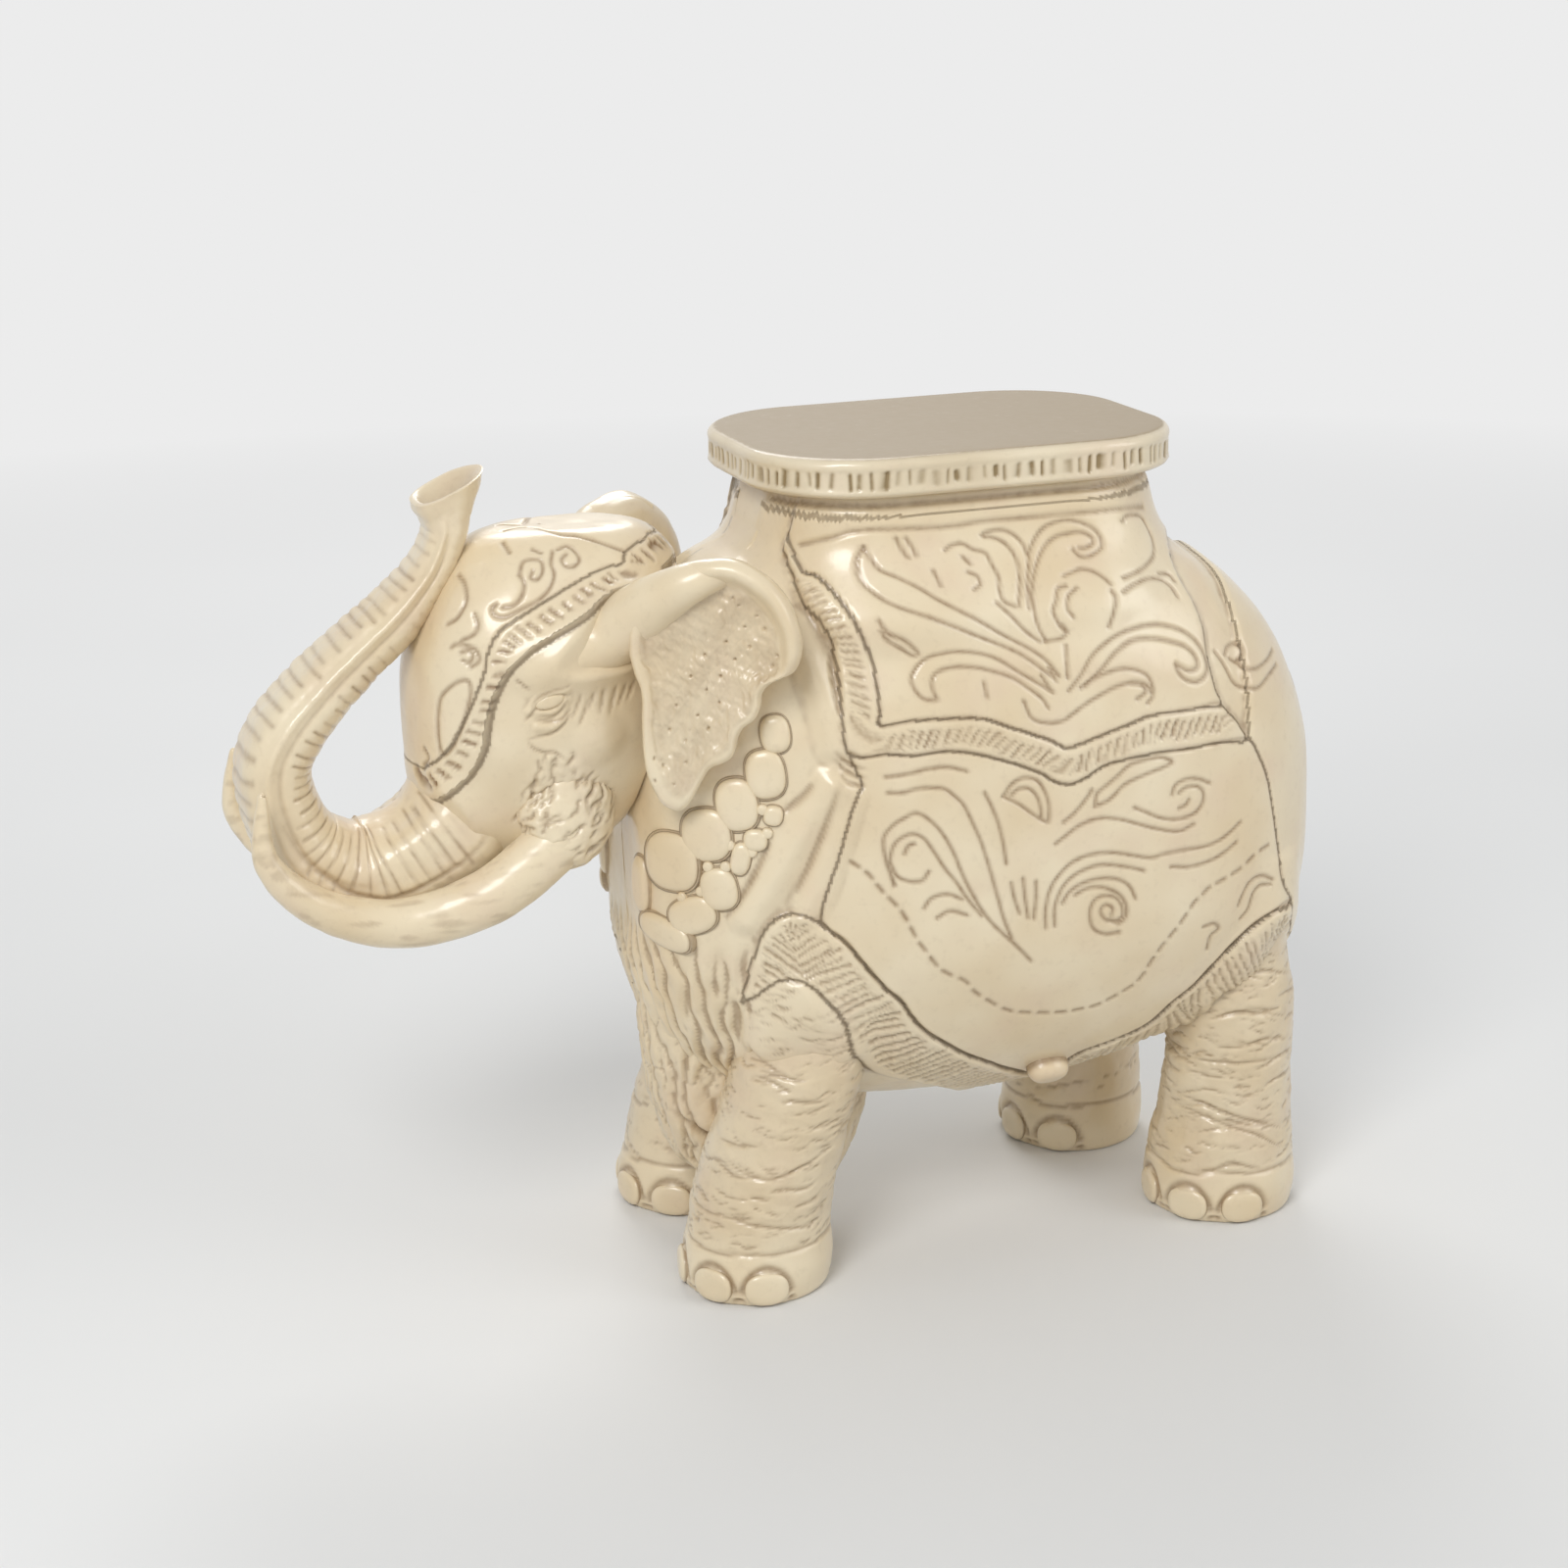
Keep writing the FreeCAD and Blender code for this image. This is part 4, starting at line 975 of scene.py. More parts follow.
# Scrolls and leaves of the saddle cloth, in pixels
SADDLE_SCROLLS = [
    [(881, 559), (875, 572), (875, 585), (880, 597), (890, 607), (905, 617), (922, 624), (945, 631),
     (975, 641), (1010, 655), (1040, 669), (1070, 690)],
    [(881, 559), (885, 567), (892, 578), (899, 585), (915, 592), (935, 602), (955, 614), (975, 624),
     (1000, 636), (1025, 650), (1048, 663), (1065, 675), (1078, 690)],
    [(1072, 706), (1040, 688), (1010, 671), (975, 665), (945, 671), (932, 685), (929, 697), (937, 710),
     (945, 714), (955, 714)],
    [(954, 712), (950, 703), (950, 693), (956, 686), (968, 682), (985, 681), (1005, 684), (1030, 692),
     (1045, 701), (1060, 712), (1067, 722)],
    [(1042, 715), (1050, 732), (1065, 737), (1082, 735), (1100, 722), (1115, 712), (1135, 701), (1150, 697),
     (1165, 698), (1172, 706)],
    [(1100, 702), (1115, 692), (1135, 684), (1150, 683), (1165, 688), (1172, 698), (1173, 710), (1168, 717)],
    [(1150, 697), (1162, 699), (1166, 706), (1157, 713)],
    [(1088, 705), (1100, 690), (1112, 670), (1128, 655), (1145, 645), (1170, 639), (1190, 641), (1207, 648),
     (1220, 660), (1227, 675), (1227, 688), (1218, 696), (1207, 694), (1199, 687), (1196, 678)],
    [(1105, 700), (1120, 685), (1135, 667), (1152, 655), (1172, 653), (1190, 656), (1205, 661), (1215, 670),
     (1218, 681), (1210, 685), (1198, 680)],
    [(1048, 622), (1046, 600), (1047, 580), (1048, 565), (1055, 548), (1065, 537), (1082, 531), (1098, 533),
     (1112, 540), (1120, 552), (1120, 562), (1110, 569), (1100, 570), (1092, 562)],
    [(1065, 655), (1057, 640), (1052, 620), (1051, 600), (1055, 580), (1062, 562), (1073, 550), (1088, 545),
     (1100, 544), (1110, 549), (1112, 556), (1105, 561), (1098, 561)],
    [(1046, 567), (1040, 555), (1030, 545), (1018, 541), (1005, 543), (1000, 547)],
    [(1037, 620), (1038, 600), (1037, 582), (1032, 567), (1022, 555), (1010, 549), (1001, 548)],
    [(962, 563), (970, 557), (980, 556), (990, 562), (1003, 566), (1010, 578), (1016, 590), (1018, 605),
     (1022, 615), (1032, 620)],
    [(950, 584), (955, 593), (958, 600)],
    [(985, 586), (995, 590), (998, 598), (992, 604)],
    [(980, 570), (988, 578)],
    [(1015, 617), (1030, 630), (1045, 645), (1058, 655)],
    [(1085, 600), (1077, 603), (1075, 615), (1072, 625), (1078, 637), (1086, 645)],
    [(1096, 602), (1088, 610), (1087, 622), (1093, 630)],
    [(1128, 640), (1133, 625), (1135, 612), (1131, 605)],
    [(1083, 590), (1092, 586), (1100, 583), (1112, 585), (1122, 591), (1130, 598)],
    [(1082, 638), (1086, 645), (1080, 652), (1063, 655)],
    [(1140, 533), (1145, 527), (1157, 528), (1165, 540), (1171, 555), (1172, 570), (1165, 580), (1155, 587),
     (1143, 592)],
    [(1143, 606), (1155, 598), (1168, 593), (1180, 594), (1190, 601), (1197, 611)],
    [(1178, 588), (1188, 589), (1194, 596)],
    [(896, 634), (905, 645), (922, 652), (935, 665), (930, 668), (918, 660), (905, 652), (898, 643)],
    [(912, 549), (920, 565), (925, 571)],
    [(922, 549), (930, 562), (933, 569)],
    [(1085, 660), (1086, 675), (1087, 692)],
    [(1068, 682), (1075, 695)],
    [(1060, 690), (1070, 705)],
    [(1002, 697), (1005, 711)],
]

# Scrolls and leaves of the side drape, in pixels
DRAPE_SCROLLS = [
    [(905, 808), (920, 808), (935, 804), (950, 803), (962, 804), (972, 811), (982, 821), (990, 837),
     (1000, 860), (1008, 885), (1015, 910), (1022, 935), (1030, 955)],
    [(903, 792), (925, 789), (945, 784), (965, 782), (985, 786)],
    [(912, 902), (908, 890), (903, 875), (901, 855), (910, 842), (922, 834), (935, 829), (950, 838),
     (962, 852), (972, 870), (980, 890), (990, 910), (1002, 930), (1015, 945), (1035, 963), (1050, 978)],
    [(912, 903), (907, 885), (910, 865), (918, 855), (930, 850), (942, 855), (953, 870), (963, 885),
     (975, 900), (985, 915), (1000, 933)],
    [(947, 888), (940, 897), (928, 898), (915, 893), (908, 880)],
    [(922, 870), (926, 862), (932, 860)],
    [(1003, 808), (1010, 822), (1017, 840), (1022, 860), (1025, 880)],
    [(1022, 812), (1030, 800), (1042, 793), (1055, 795), (1063, 805), (1068, 820), (1068, 837)],
    [(1030, 810), (1038, 804), (1048, 804), (1056, 812), (1060, 825), (1060, 835)],
    [(1022, 812), (1038, 820), (1052, 830), (1066, 838)],
    [(942, 925), (950, 915), (965, 911), (980, 916)],
    [(955, 935), (968, 928), (985, 932)],
    [(1030, 900), (1033, 915), (1038, 930)],
    [(1042, 895), (1044, 915), (1047, 935)],
    [(1055, 898), (1055, 915), (1053, 935)],
    [(1065, 945), (1065, 925), (1070, 905), (1080, 890), (1095, 877), (1115, 870), (1135, 869), (1155, 872),
     (1172, 874), (1185, 870), (1205, 866), (1225, 863), (1240, 857), (1252, 848), (1262, 838)],
    [(1074, 942), (1074, 925), (1080, 908), (1090, 895), (1105, 886), (1122, 881), (1145, 883), (1165, 887)],
    [(1192, 883), (1212, 883), (1232, 877), (1247, 868), (1258, 858)],
    [(1082, 920), (1090, 908), (1105, 899), (1122, 895), (1138, 896), (1150, 903), (1156, 915)],
    [(1095, 912), (1108, 905), (1122, 904), (1138, 910), (1146, 920), (1147, 932), (1140, 940), (1130, 938)],
    [(1140, 949), (1125, 951), (1113, 945), (1110, 932), (1113, 920), (1122, 913), (1135, 914), (1142, 922),
     (1143, 933), (1135, 938), (1125, 936), (1121, 928), (1126, 922), (1133, 925), (1132, 932)],
    [(1193, 810), (1197, 800), (1208, 794), (1220, 794), (1231, 798)],
    [(1200, 808), (1208, 802), (1220, 802), (1225, 810), (1222, 822), (1212, 831), (1195, 835), (1180, 833),
     (1165, 827), (1155, 823)],
    [(1200, 824), (1207, 820), (1210, 815)],
    [(1075, 860), (1085, 852), (1100, 841), (1120, 834), (1140, 835), (1160, 840), (1180, 845), (1200, 847),
     (1215, 840)],
    [(1083, 838), (1095, 828), (1108, 812), (1112, 805)],
    [(1115, 822), (1130, 815), (1145, 800), (1165, 790), (1185, 782), (1193, 776), (1180, 772), (1165, 775),
     (1150, 780), (1137, 792), (1125, 802), (1117, 810), (1115, 822)],
    [(1262, 935), (1270, 925), (1275, 910), (1282, 902), (1293, 901)],
    [(1260, 922), (1265, 910), (1272, 898), (1283, 892), (1295, 896)],
    [(1225, 943), (1235, 940), (1240, 945), (1232, 952), (1228, 965)],
]
DRAPE_DASHES = [
    (868, 878), (885, 890), (897, 905), (920, 930), (935, 957), (945, 970), (955, 983), (965, 990),
    (983, 998), (992, 1008), (1002, 1015), (1020, 1025), (1035, 1029), (1060, 1030), (1080, 1029),
    (1100, 1026), (1120, 1021), (1140, 1010), (1155, 1001), (1165, 990), (1172, 978), (1185, 960),
    (1195, 948), (1205, 935), (1215, 920), (1223, 912), (1232, 903), (1243, 897), (1262, 885), (1280, 868),
    (1295, 858)]
RUMP_SCROLLS = [
    [(1250, 668), (1253, 660), (1260, 657), (1265, 665), (1262, 675), (1255, 672)],
    [(1262, 675), (1268, 683), (1278, 683), (1288, 675), (1293, 665)],
    [(1240, 665), (1250, 680), (1258, 695), (1268, 702), (1280, 702), (1290, 690), (1297, 680)],
]
KNOB_PIXEL = (1066, 1080)

# The body's middle, the level of the collar under the seat, and where the rump cloth starts and ends
BODY_MIDDLE = (93 * MM, 0, 233 * MM)
COLLAR_LEVEL = 401 * MM
RUMP_START = 215 * MM
RUMP_FOOT = 150 * MM


def every(line, dash, gap):
    """Breaks a line of places into dashes, each a few samples long."""
    return [line[start:start + dash] for start in range(0, len(line), dash + gap)]


def hatch(sheet, line, band, reach, pitch, seed, depth, slant, spread, wash, hairs=True):
    """Cuts uneven strands across a band, square to its edge line or leaning, with fine hairs between."""
    source = np.random.RandomState(seed)
    gap, sample = sheet.nearest(line, reach)
    along = run_of(line)[sample] + gap * slant + 0.8 * MM * hills(sheet.base, 18 * MM, seed, 2)
    total = np.zeros(sheet.shape)
    for finer, share in ((1.0, 1.0), (2.3, 0.45)) if hairs else ((1.0, 1.0),):
        place = along / pitch * finer + 1
        strand = np.floor(place).astype(int)
        strand = strand - strand.min()
        table = source.uniform(0, 1, (4, strand.max() + 3))
        offset = place - np.floor(place) - 0.5 + (table[0, strand] - 0.5) * 0.35
        start = reach * (spread[0] + 0.12 * table[1, strand])
        finish = reach * (spread[1] - 0.16 * table[2, strand])
        ends = soft_step(gap, start, start + 1.6 * MM) * (1 - soft_step(gap, finish - 2.0 * MM, finish))
        cut = np.exp(-(offset / 0.20) ** 2) * ends * (0.55 + 0.45 * table[3, strand])
        total = np.maximum(total, cut * share)
    total *= softened(band.astype(float), 2, sheet.wraps)
    sheet.press(total, depth, wash)


class Flank:
    """The relief of one side: where each cloth lies, and every line cut into it."""

    def __init__(self, tree):
        self.tree = tree
        self.saddle = self.near(
            SADDLE_FRONT_PIXELS + SADDLE_BOTTOM_PIXELS + SADDLE_REAR_PIXELS + SADDLE_TOP_PIXELS
            + SADDLE_FRONT_PIXELS[:1])
        self.fringe_top = self.near(SADDLE_FRONT_PIXELS + SADDLE_BOTTOM_PIXELS)
        self.saddle_fringe = self.near(
            FRINGE_FRONT_PIXELS + FRINGE_BOTTOM_PIXELS + SADDLE_BOTTOM_PIXELS[::-1]
            + SADDLE_FRONT_PIXELS[::-1])
        self.drape = self.near(
            DRAPE_FRONT_PIXELS + HEM_PIXELS + DRAPE_REAR_PIXELS + FRINGE_BOTTOM_PIXELS[::-1]
            + DRAPE_FRONT_PIXELS[:1])
        self.hem = self.near(HEM_PIXELS)
        self.fringe_hem = self.near(FRINGE_CORNER_PIXELS[::-1] + HEM_PIXELS)
        self.drape_fringe = self.near(DRAPE_FRINGE_PIXELS + HEM_PIXELS[::-1] + FRINGE_CORNER_PIXELS)
        self.collar_line = self.near(COLLAR_LINE_PIXELS)
        self.scrolls = [self.near(pixels) for pixels in SADDLE_SCROLLS + DRAPE_SCROLLS + RUMP_SCROLLS]
        self.dashes = every(self.near(DRAPE_DASHES), 9, 7)
        self.shoulder_lines = [self.near(pixels) for pixels in SHOULDER_LINES]
        self.shoulder_rolls = [self.near(pixels) for pixels in SHOULDER_ROLLS]
        self.straps = [self.near(pixels) for pixels in STRAP_LINES]
        self.leg_top = self.near(LEG_TOP_PIXELS)

    def near(self, pixels):
        """Traces a pixel line onto the left flank."""
        return traced(self.tree, pixels)

    def carve(self, sheet):
        """Carves a sheet of the left flank and gives the masks of its pieces."""
        x = sheet.base[..., 0]
        z = sheet.base[..., 2]
        masks = {"saddle_cloth": sheet.mask(self.saddle)}
        covered = masks["saddle_cloth"].copy()
        for name, outline in (
                ("saddle_fringe", self.saddle_fringe), ("side_drape", self.drape),
                ("drape_fringe", self.drape_fringe)):
            masks[name] = sheet.mask(outline) & ~covered
            covered |= masks[name]
        masks["rump_cloth"] = ~covered & (x > RUMP_START) & (z > RUMP_FOOT)
        covered |= masks["rump_cloth"]
        rises = {
            "saddle_cloth": CLOTH_RISE + SADDLE_EXTRA, "saddle_fringe": FRINGE_RISE, "side_drape": CLOTH_RISE,
            "drape_fringe": FRINGE_RISE, "rump_cloth": CLOTH_RISE}
        height = np.zeros(sheet.shape)
        for name, rise in rises.items():
            height = np.where(masks[name], rise, height)
        sheet.height += softened(height, 3, sheet.wraps)
        for edge in (self.saddle, self.saddle_fringe, self.drape, self.drape_fringe):
            sheet.incise(edge, HEM_WIDTH * 0.7, HEM_DEPTH * 0.5, 0.7)
        sheet.incise(self.hem, HEM_WIDTH * 0.85, HEM_DEPTH * 0.7, 0.9)
        sheet.incise(self.collar_line, HEM_WIDTH, HEM_DEPTH * 0.7, 0.6)
        rim = groove(z - COLLAR_LEVEL - COLLAR_RIM_DROP, HEM_WIDTH)
        sheet.press(rim, 1.3 * MM, 0.7)
        hatch(sheet, self.fringe_top, masks["saddle_fringe"], *SADDLE_HATCH)
        hatch(sheet, self.fringe_hem, masks["drape_fringe"], *DRAPE_HATCH)
        for line in self.scrolls:
            sheet.incise(line)
        for line in self.dashes:
            sheet.incise(line, LINE_WIDTH * 1.1, LINE_DEPTH * 0.9)
        for line in self.shoulder_rolls:
            sheet.swell(line, ROLL_WIDTH, ROLL_RISE)
        for line in self.shoulder_lines:
            sheet.incise(line, HEM_WIDTH * 1.2, HEM_DEPTH, 0.75, True)
        for line in self.straps:
            sheet.incise(line, LINE_WIDTH, LINE_DEPTH * 1.2, 0.6, True)
        masks["body_shell"] = ~covered
        leg_top = sheet.mask(self.leg_top) & ~covered
        sheet.height += LEG_TOP_RISE * softened(leg_top.astype(float), 9, sheet.wraps)
        way = level_way((-2 * MM, -LEG_SPREAD))
        cut_strokes(sheet, leg_top, way, 40, *LEG_TOP_WRINKLE, 12, 0.1)
        fold_skin(sheet, softened((~covered & ~leg_top).astype(float), 3, sheet.wraps))
        sheet.roughen(0.35 * MM, 45 * MM, 11, 2)
        sheet.settle_wash()
        masks["seat_collar"] = z > COLLAR_LEVEL
        for name in ("saddle_cloth", "body_shell", "rump_cloth"):
            masks[name] = masks[name] & ~masks["seat_collar"]
        return masks


def fold_skin(sheet, strength):
    """Lays feathery upright folds of skin over the breast, from one rule in space, so that sheets agree."""
    x = sheet.base[..., 0]
    z = sheet.base[..., 2]
    turn = np.arctan2(np.abs(sheet.base[..., 1]), FOLD_CENTRE - x)
    low = (1 - soft_step(z, 172 * MM, 196 * MM)) * (1 - soft_step(x, -42 * MM, -18 * MM)) * strength
    wander = hills(sheet.base * np.array([1, 1, 0.5]), 34 * MM, 21, 3)
    wave = np.abs(np.sin(turn * 21 + wander * 2.4))
    sheet.height += low * (3.2 * MM * wave - 1.4 * MM)
    sheet.height += low * 0.8 * MM * hills(sheet.base * np.array([1, 1, 0.35]), 12 * MM, 22, 2)
    sheet.stain(0.18 * low * (1 - soft_step(wave, 0.05, 0.35)))
    sheet.height += 0.4 * MM * strength * hills(sheet.base, 26 * MM, 24, 3)


def widened(mask):
    """Adds a border of one grid step to a mask, so that neighbours overlap."""
    result = mask.copy()
    result[1:] |= mask[:-1]
    result[:-1] |= mask[1:]
    result[:, 1:] |= mask[:, :-1]
    result[:, :-1] |= mask[:, 1:]
    return result


def eroded(mask, rounds):
    """Takes a border off a mask."""
    for _ in range(rounds):
        mask = ~widened(~mask)
    return mask


def make_barrel(look):
    """Makes the body, the collar and every cloth on it."""
    skin = Skin(
        solid_tree("body_shell", "seat_collar"), BODY_MIDDLE, ((1, 0, 0), (0, -1, 0), (0, 0, 1)),
        BODY_HALF_LENGTH, BODY_PROBE_START, 2)
    legs = [f"{end}_{side}_leg" for end in ("front", "rear") for side in ("left", "right")]
    skin.drape_over(solid_tree("body_shell", "seat_collar", *legs), LEG_BULGE, 52, 68)
    inner = skin.patch(WHOLE_TILTS, WHOLE_TURNS, PLAIN_STEP)
    flank = Flank(inner.ray_tree())
    parts = {}
    for side, step in (("left", NEAR_STEP), ("right", FAR_STEP)):
        sheet = skin.patch(FLANK_TILTS, FLANK_TURNS, step)
        for name, mask in flank.carve(sheet).items():
            part = Part()
            part.add_shell(sheet, widened(mask))
            parts[f"{name}_{side}"] = part if side == "left" else part.mirrored()
    for title in ("saddle_cloth", "saddle_fringe", "side_drape", "drape_fringe"):
        for side in ("left", "right"):
            keep(parts[f"{title}_{side}"], f"{title}_{side}", look)
    rear = skin.patch(REAR_TILTS, WHOLE_TURNS, *REAR_STEPS)
    cloth = rear.base[..., 2] > RUMP_FOOT
    rear.height += softened(np.where(cloth, CLOTH_RISE, 0.0), 2, True)
    rear.settle_wash()
    breast = skin.patch(BREAST_TILTS, WHOLE_TURNS, *BREAST_STEPS)
    fold_skin(breast, 1.0)
    breast.roughen(0.35 * MM, 45 * MM, 11, 2)
    breast.settle_wash()
    from_belly = np.degrees(np.arctan2(inner.base[..., 1], BODY_MIDDLE[2] - inner.base[..., 2]))
    bare = (np.abs(from_belly) < 8) | (np.abs(from_belly) > 172)
    inner.height -= np.where(bare, 0.0, BODY_SINK)
    merged = {name: Part() for name in ("body_shell", "rump_cloth", "seat_collar")}
    merged["body_shell"].add_closed(inner)
    chest = Part()
    chest.add_shell(breast, np.ones(breast.shape, bool))
    finish_piece(chest.make("body_shell_breast"), look)
    finish_piece(parts.pop("body_shell_left").make("body_shell_near_side"), look)
    merged["body_shell"].add_shell(rear, widened(~cloth))
    merged["rump_cloth"].add_shell(rear, cloth)
    for name, part in merged.items():
        for side in ("left", "right"):
            if f"{name}_{side}" in parts:
                part.add_all(parts[f"{name}_{side}"])
        keep(part, name, look)
    return flank


def rounded_ring(length, width, corner, count):
    """Gives places round a rounded rectangle, their outward directions, their run and the whole way round."""
    dense = []
    looks = []
    for side_x, side_y, first in ((1, 1, 0), (-1, 1, 90), (-1, -1, 180), (1, -1, 270)):
        for degrees in np.linspace(first, first + 90, 90):
            angle = math.radians(degrees)
            look = np.array([math.cos(angle), math.sin(angle)])
            centre = np.array([side_x * (length / 2 - corner), side_y * (width / 2 - corner)])
            dense.append(centre + look * corner)
            looks.append(look)
    dense = np.array(dense + dense[:1])
    looks = np.array(looks + looks[:1])
    run = run_of(dense)
    at = np.linspace(0, run[-1], count, endpoint=False)
    places = np.stack([np.interp(at, run, dense[:, axis]) for axis in range(2)], axis=-1)
    looks = np.stack([np.interp(at, run, looks[:, axis]) for axis in range(2)], axis=-1)
    return places, unit(looks), at, run[-1]


SEAT_X = 84.4 * MM
SEAT_TOP = 432 * MM
SLAB_LENGTH = 226 * MM
SLAB_WIDTH = 170 * MM
SLAB_CORNER = 60 * MM
# Slab profile from the middle of the underside to the middle of the top: inset and drop, in mm
SLAB_PROFILE = [
    (70, 20.0), (40, 20.0), (14, 20.0), (7, 20.0), (4, 19.7), (1.8, 19.0), (0.6, 18.0), (0.0, 17.0),
    (0.2, 16.0), (0.4, 15.2), (0.5, 14.4), (0.5, 13.6), (0.5, 12.8), (0.5, 12.0), (0.5, 11.2), (0.5, 10.4),
    (0.5, 9.6), (0.5, 8.8), (0.5, 8.0), (0.5, 7.2), (0.4, 6.4), (0.2, 5.6), (0.0, 4.8), (0.0, 4.0),
    (0.1, 3.2), (0.5, 2.3), (1.2, 1.4), (2.4, 0.6), (3.6, 0.2), (5, 0.05), (7, 0.0), (14, 0.0), (24, 0.1),
    (34, 0.2), (46, 0.3), (60, 0.3), (74, 0.3)]
FLUTE_TOP = 5.0 * MM
FLUTE_FOOT = 16.6 * MM
FLUTE_COUNT = 108


def make_slab(look):
    """Makes the seat slab: a smooth rounded top edge, a band of uneven upright cuts and a smooth lip."""
    source = np.random.RandomState(5)
    count = 1100
    places, looks, at, girth = rounded_ring(SLAB_LENGTH, SLAB_WIDTH, SLAB_CORNER, count)
    rows = []
    for inset, drop in SLAB_PROFILE:
        flat = places - looks * inset * MM
        if inset > 8:
            flat = places * (1 - inset * MM / (SLAB_WIDTH / 2))
        rows.append(np.column_stack([flat[:, 0] + SEAT_X, flat[:, 1], np.full(count, SEAT_TOP - drop * MM)]))
    sheet = Sheet(np.array(rows), True)
    drop = SEAT_TOP - sheet.base[..., 2]
    place = at / girth * FLUTE_COUNT + 1
    place = place + 0.18 * np.sin(place * 1.7) + 0.10 * np.sin(place * 4.1)
    strand = np.floor(place).astype(int)
    table = source.uniform(0, 1, (5, FLUTE_COUNT + 4))
    lean = (drop - 10 * MM) / (30 * MM) * (table[4, strand] - 0.5)[None, :]
    offset = (place - strand - 0.5 + (table[0, strand] - 0.5) * 0.22)[None, :] + lean
    top = FLUTE_TOP + table[1, strand] * 2.2 * MM
    foot = FLUTE_FOOT - table[2, strand] * 2.4 * MM
    side = (drop > 3 * MM) & (drop < 18.5 * MM)
    ends = soft_step(drop, top, top + 2.0 * MM) * (1 - soft_step(drop, foot - 2.0 * MM, foot)) * side
    cut = np.exp(-(offset / 0.20) ** 2) * ends * (0.35 + 0.65 * table[3, strand])[None, :]
    sheet.height -= 1.5 * MM * cut
    sheet.stain(cut * 1.7)
    sheet.height += 0.35 * MM * hills(sheet.base, 30 * MM, 31, 2) * side
    inset = np.array([inset for inset, _ in SLAB_PROFILE])[:, None] * MM
    # Seat top: stained darker, partly its tan glaze and partly painted shade where the light falls low over
    # the top; the rounded edge is kept pale as a painted highlight
    tan_and_shaded_top = (drop < 1.0 * MM) * soft_step(inset, 1.6 * MM, 4.2 * MM)
    sheet.stain(1.5 * tan_and_shaded_top)
    keep(closed_part(sheet), "seat_slab", look, "seat_glaze")


def station_line(shares, count):
    """Spreads a table of stations smoothly over a number of rings, one row for each ring."""
    table = np.array(shares, float)
    numbers = np.arange(len(table))
    dense = smooth_line(np.column_stack([numbers, table]), 0.02)
    at = np.linspace(0, numbers[-1], count)
    return np.column_stack([
        np.interp(at, dense[:, 0], dense[:, 1 + column]) for column in range(table.shape[1])])


def ring_frame(line):
    """Gives the directions along a line, across it and out of it, for each of its points."""
    along = unit(np.gradient(line, axis=0))
    across = unit(np.array([0.0, 1.0, 0.0]) - along * along[:, 1:2])
    return along, across, np.cross(along, across)


def tube_sheet(line, depth, breadth, columns):
    """Makes a wrapped sheet round a line, from its depth and breadth at each ring."""
    turn = whole_turn(columns)
    _, across, out = ring_frame(line)
    points = (
        line[:, None] + out[:, None] * (depth * np.cos(turn))[..., None]
        + across[:, None] * (breadth * np.sin(turn))[..., None])
    return Sheet(points, True, line[:, None])


# Trunk stations from its root to the nostrils: reach forward, rise, depth and breadth of its oval, as shares
TRUNK_SHARES = [
    (-0.10, 0.20, 0.98, 1.0), (0.23, 0.075, 0.84, 0.95), (0.48, 0.015, 0.70, 0.87),
    (0.70, 0.08, 0.62, 0.80), (0.80, 0.20, 0.55, 0.77), (0.815, 0.31, 0.52, 0.75),
    (0.735, 0.40, 0.505, 0.73), (0.60, 0.485, 0.465, 0.69), (0.46, 0.56, 0.435, 0.66),
    (0.265, 0.655, 0.40, 0.60), (0.115, 0.755, 0.33, 0.52), (0.045, 0.84, 0.30, 0.48),
    (0.03, 0.89, 0.34, 0.49), (0.02, 0.935, 0.43, 0.54), (0.015, 0.965, 0.47, 0.58)]
# Nostril cup: spread as a share of the last ring, and depth in mm
CUP_SHARES = [(0.93, 0.6), (0.82, -0.4), (0.70, -3.0), (0.56, -6.5), (0.40, -9.0), (0.22, -10.0)]
TRUNK_FOOT_PIXELS = [
    (287, 842), (312, 878), (341, 901), (365, 913), (403, 916), (450, 895), (482, 872), (500, 848)]
TRUNK_ROOT_LINES = [
    [(468, 806), (483, 804), (499, 813)],
    [(466, 815), (483, 817), (501, 817)],
    [(460, 826), (479, 828), (497, 825)],
]
TRUNK_RIDGE_TURN = math.radians(70.0)
TIP_TILT = 0.56


def ring_marks(run, pitch, sheet, seed, sharp):
    """Gives evenly spaced soft rings along a tube, each with its own strength."""
    source = np.random.RandomState(seed)
    place = run / pitch + 0.12 * hills(sheet.base, 30 * MM, seed, 2) + 1
    ring = np.floor(place).astype(int)
    table = source.uniform(0, 1, (3, ring.max() + 2))
    offset = place - ring - 0.5 + (table[0][ring] - 0.5) * 0.3
    return np.exp(-(offset / sharp) ** 2) * (0.5 + 0.5 * table[1][ring]), table[2][ring]


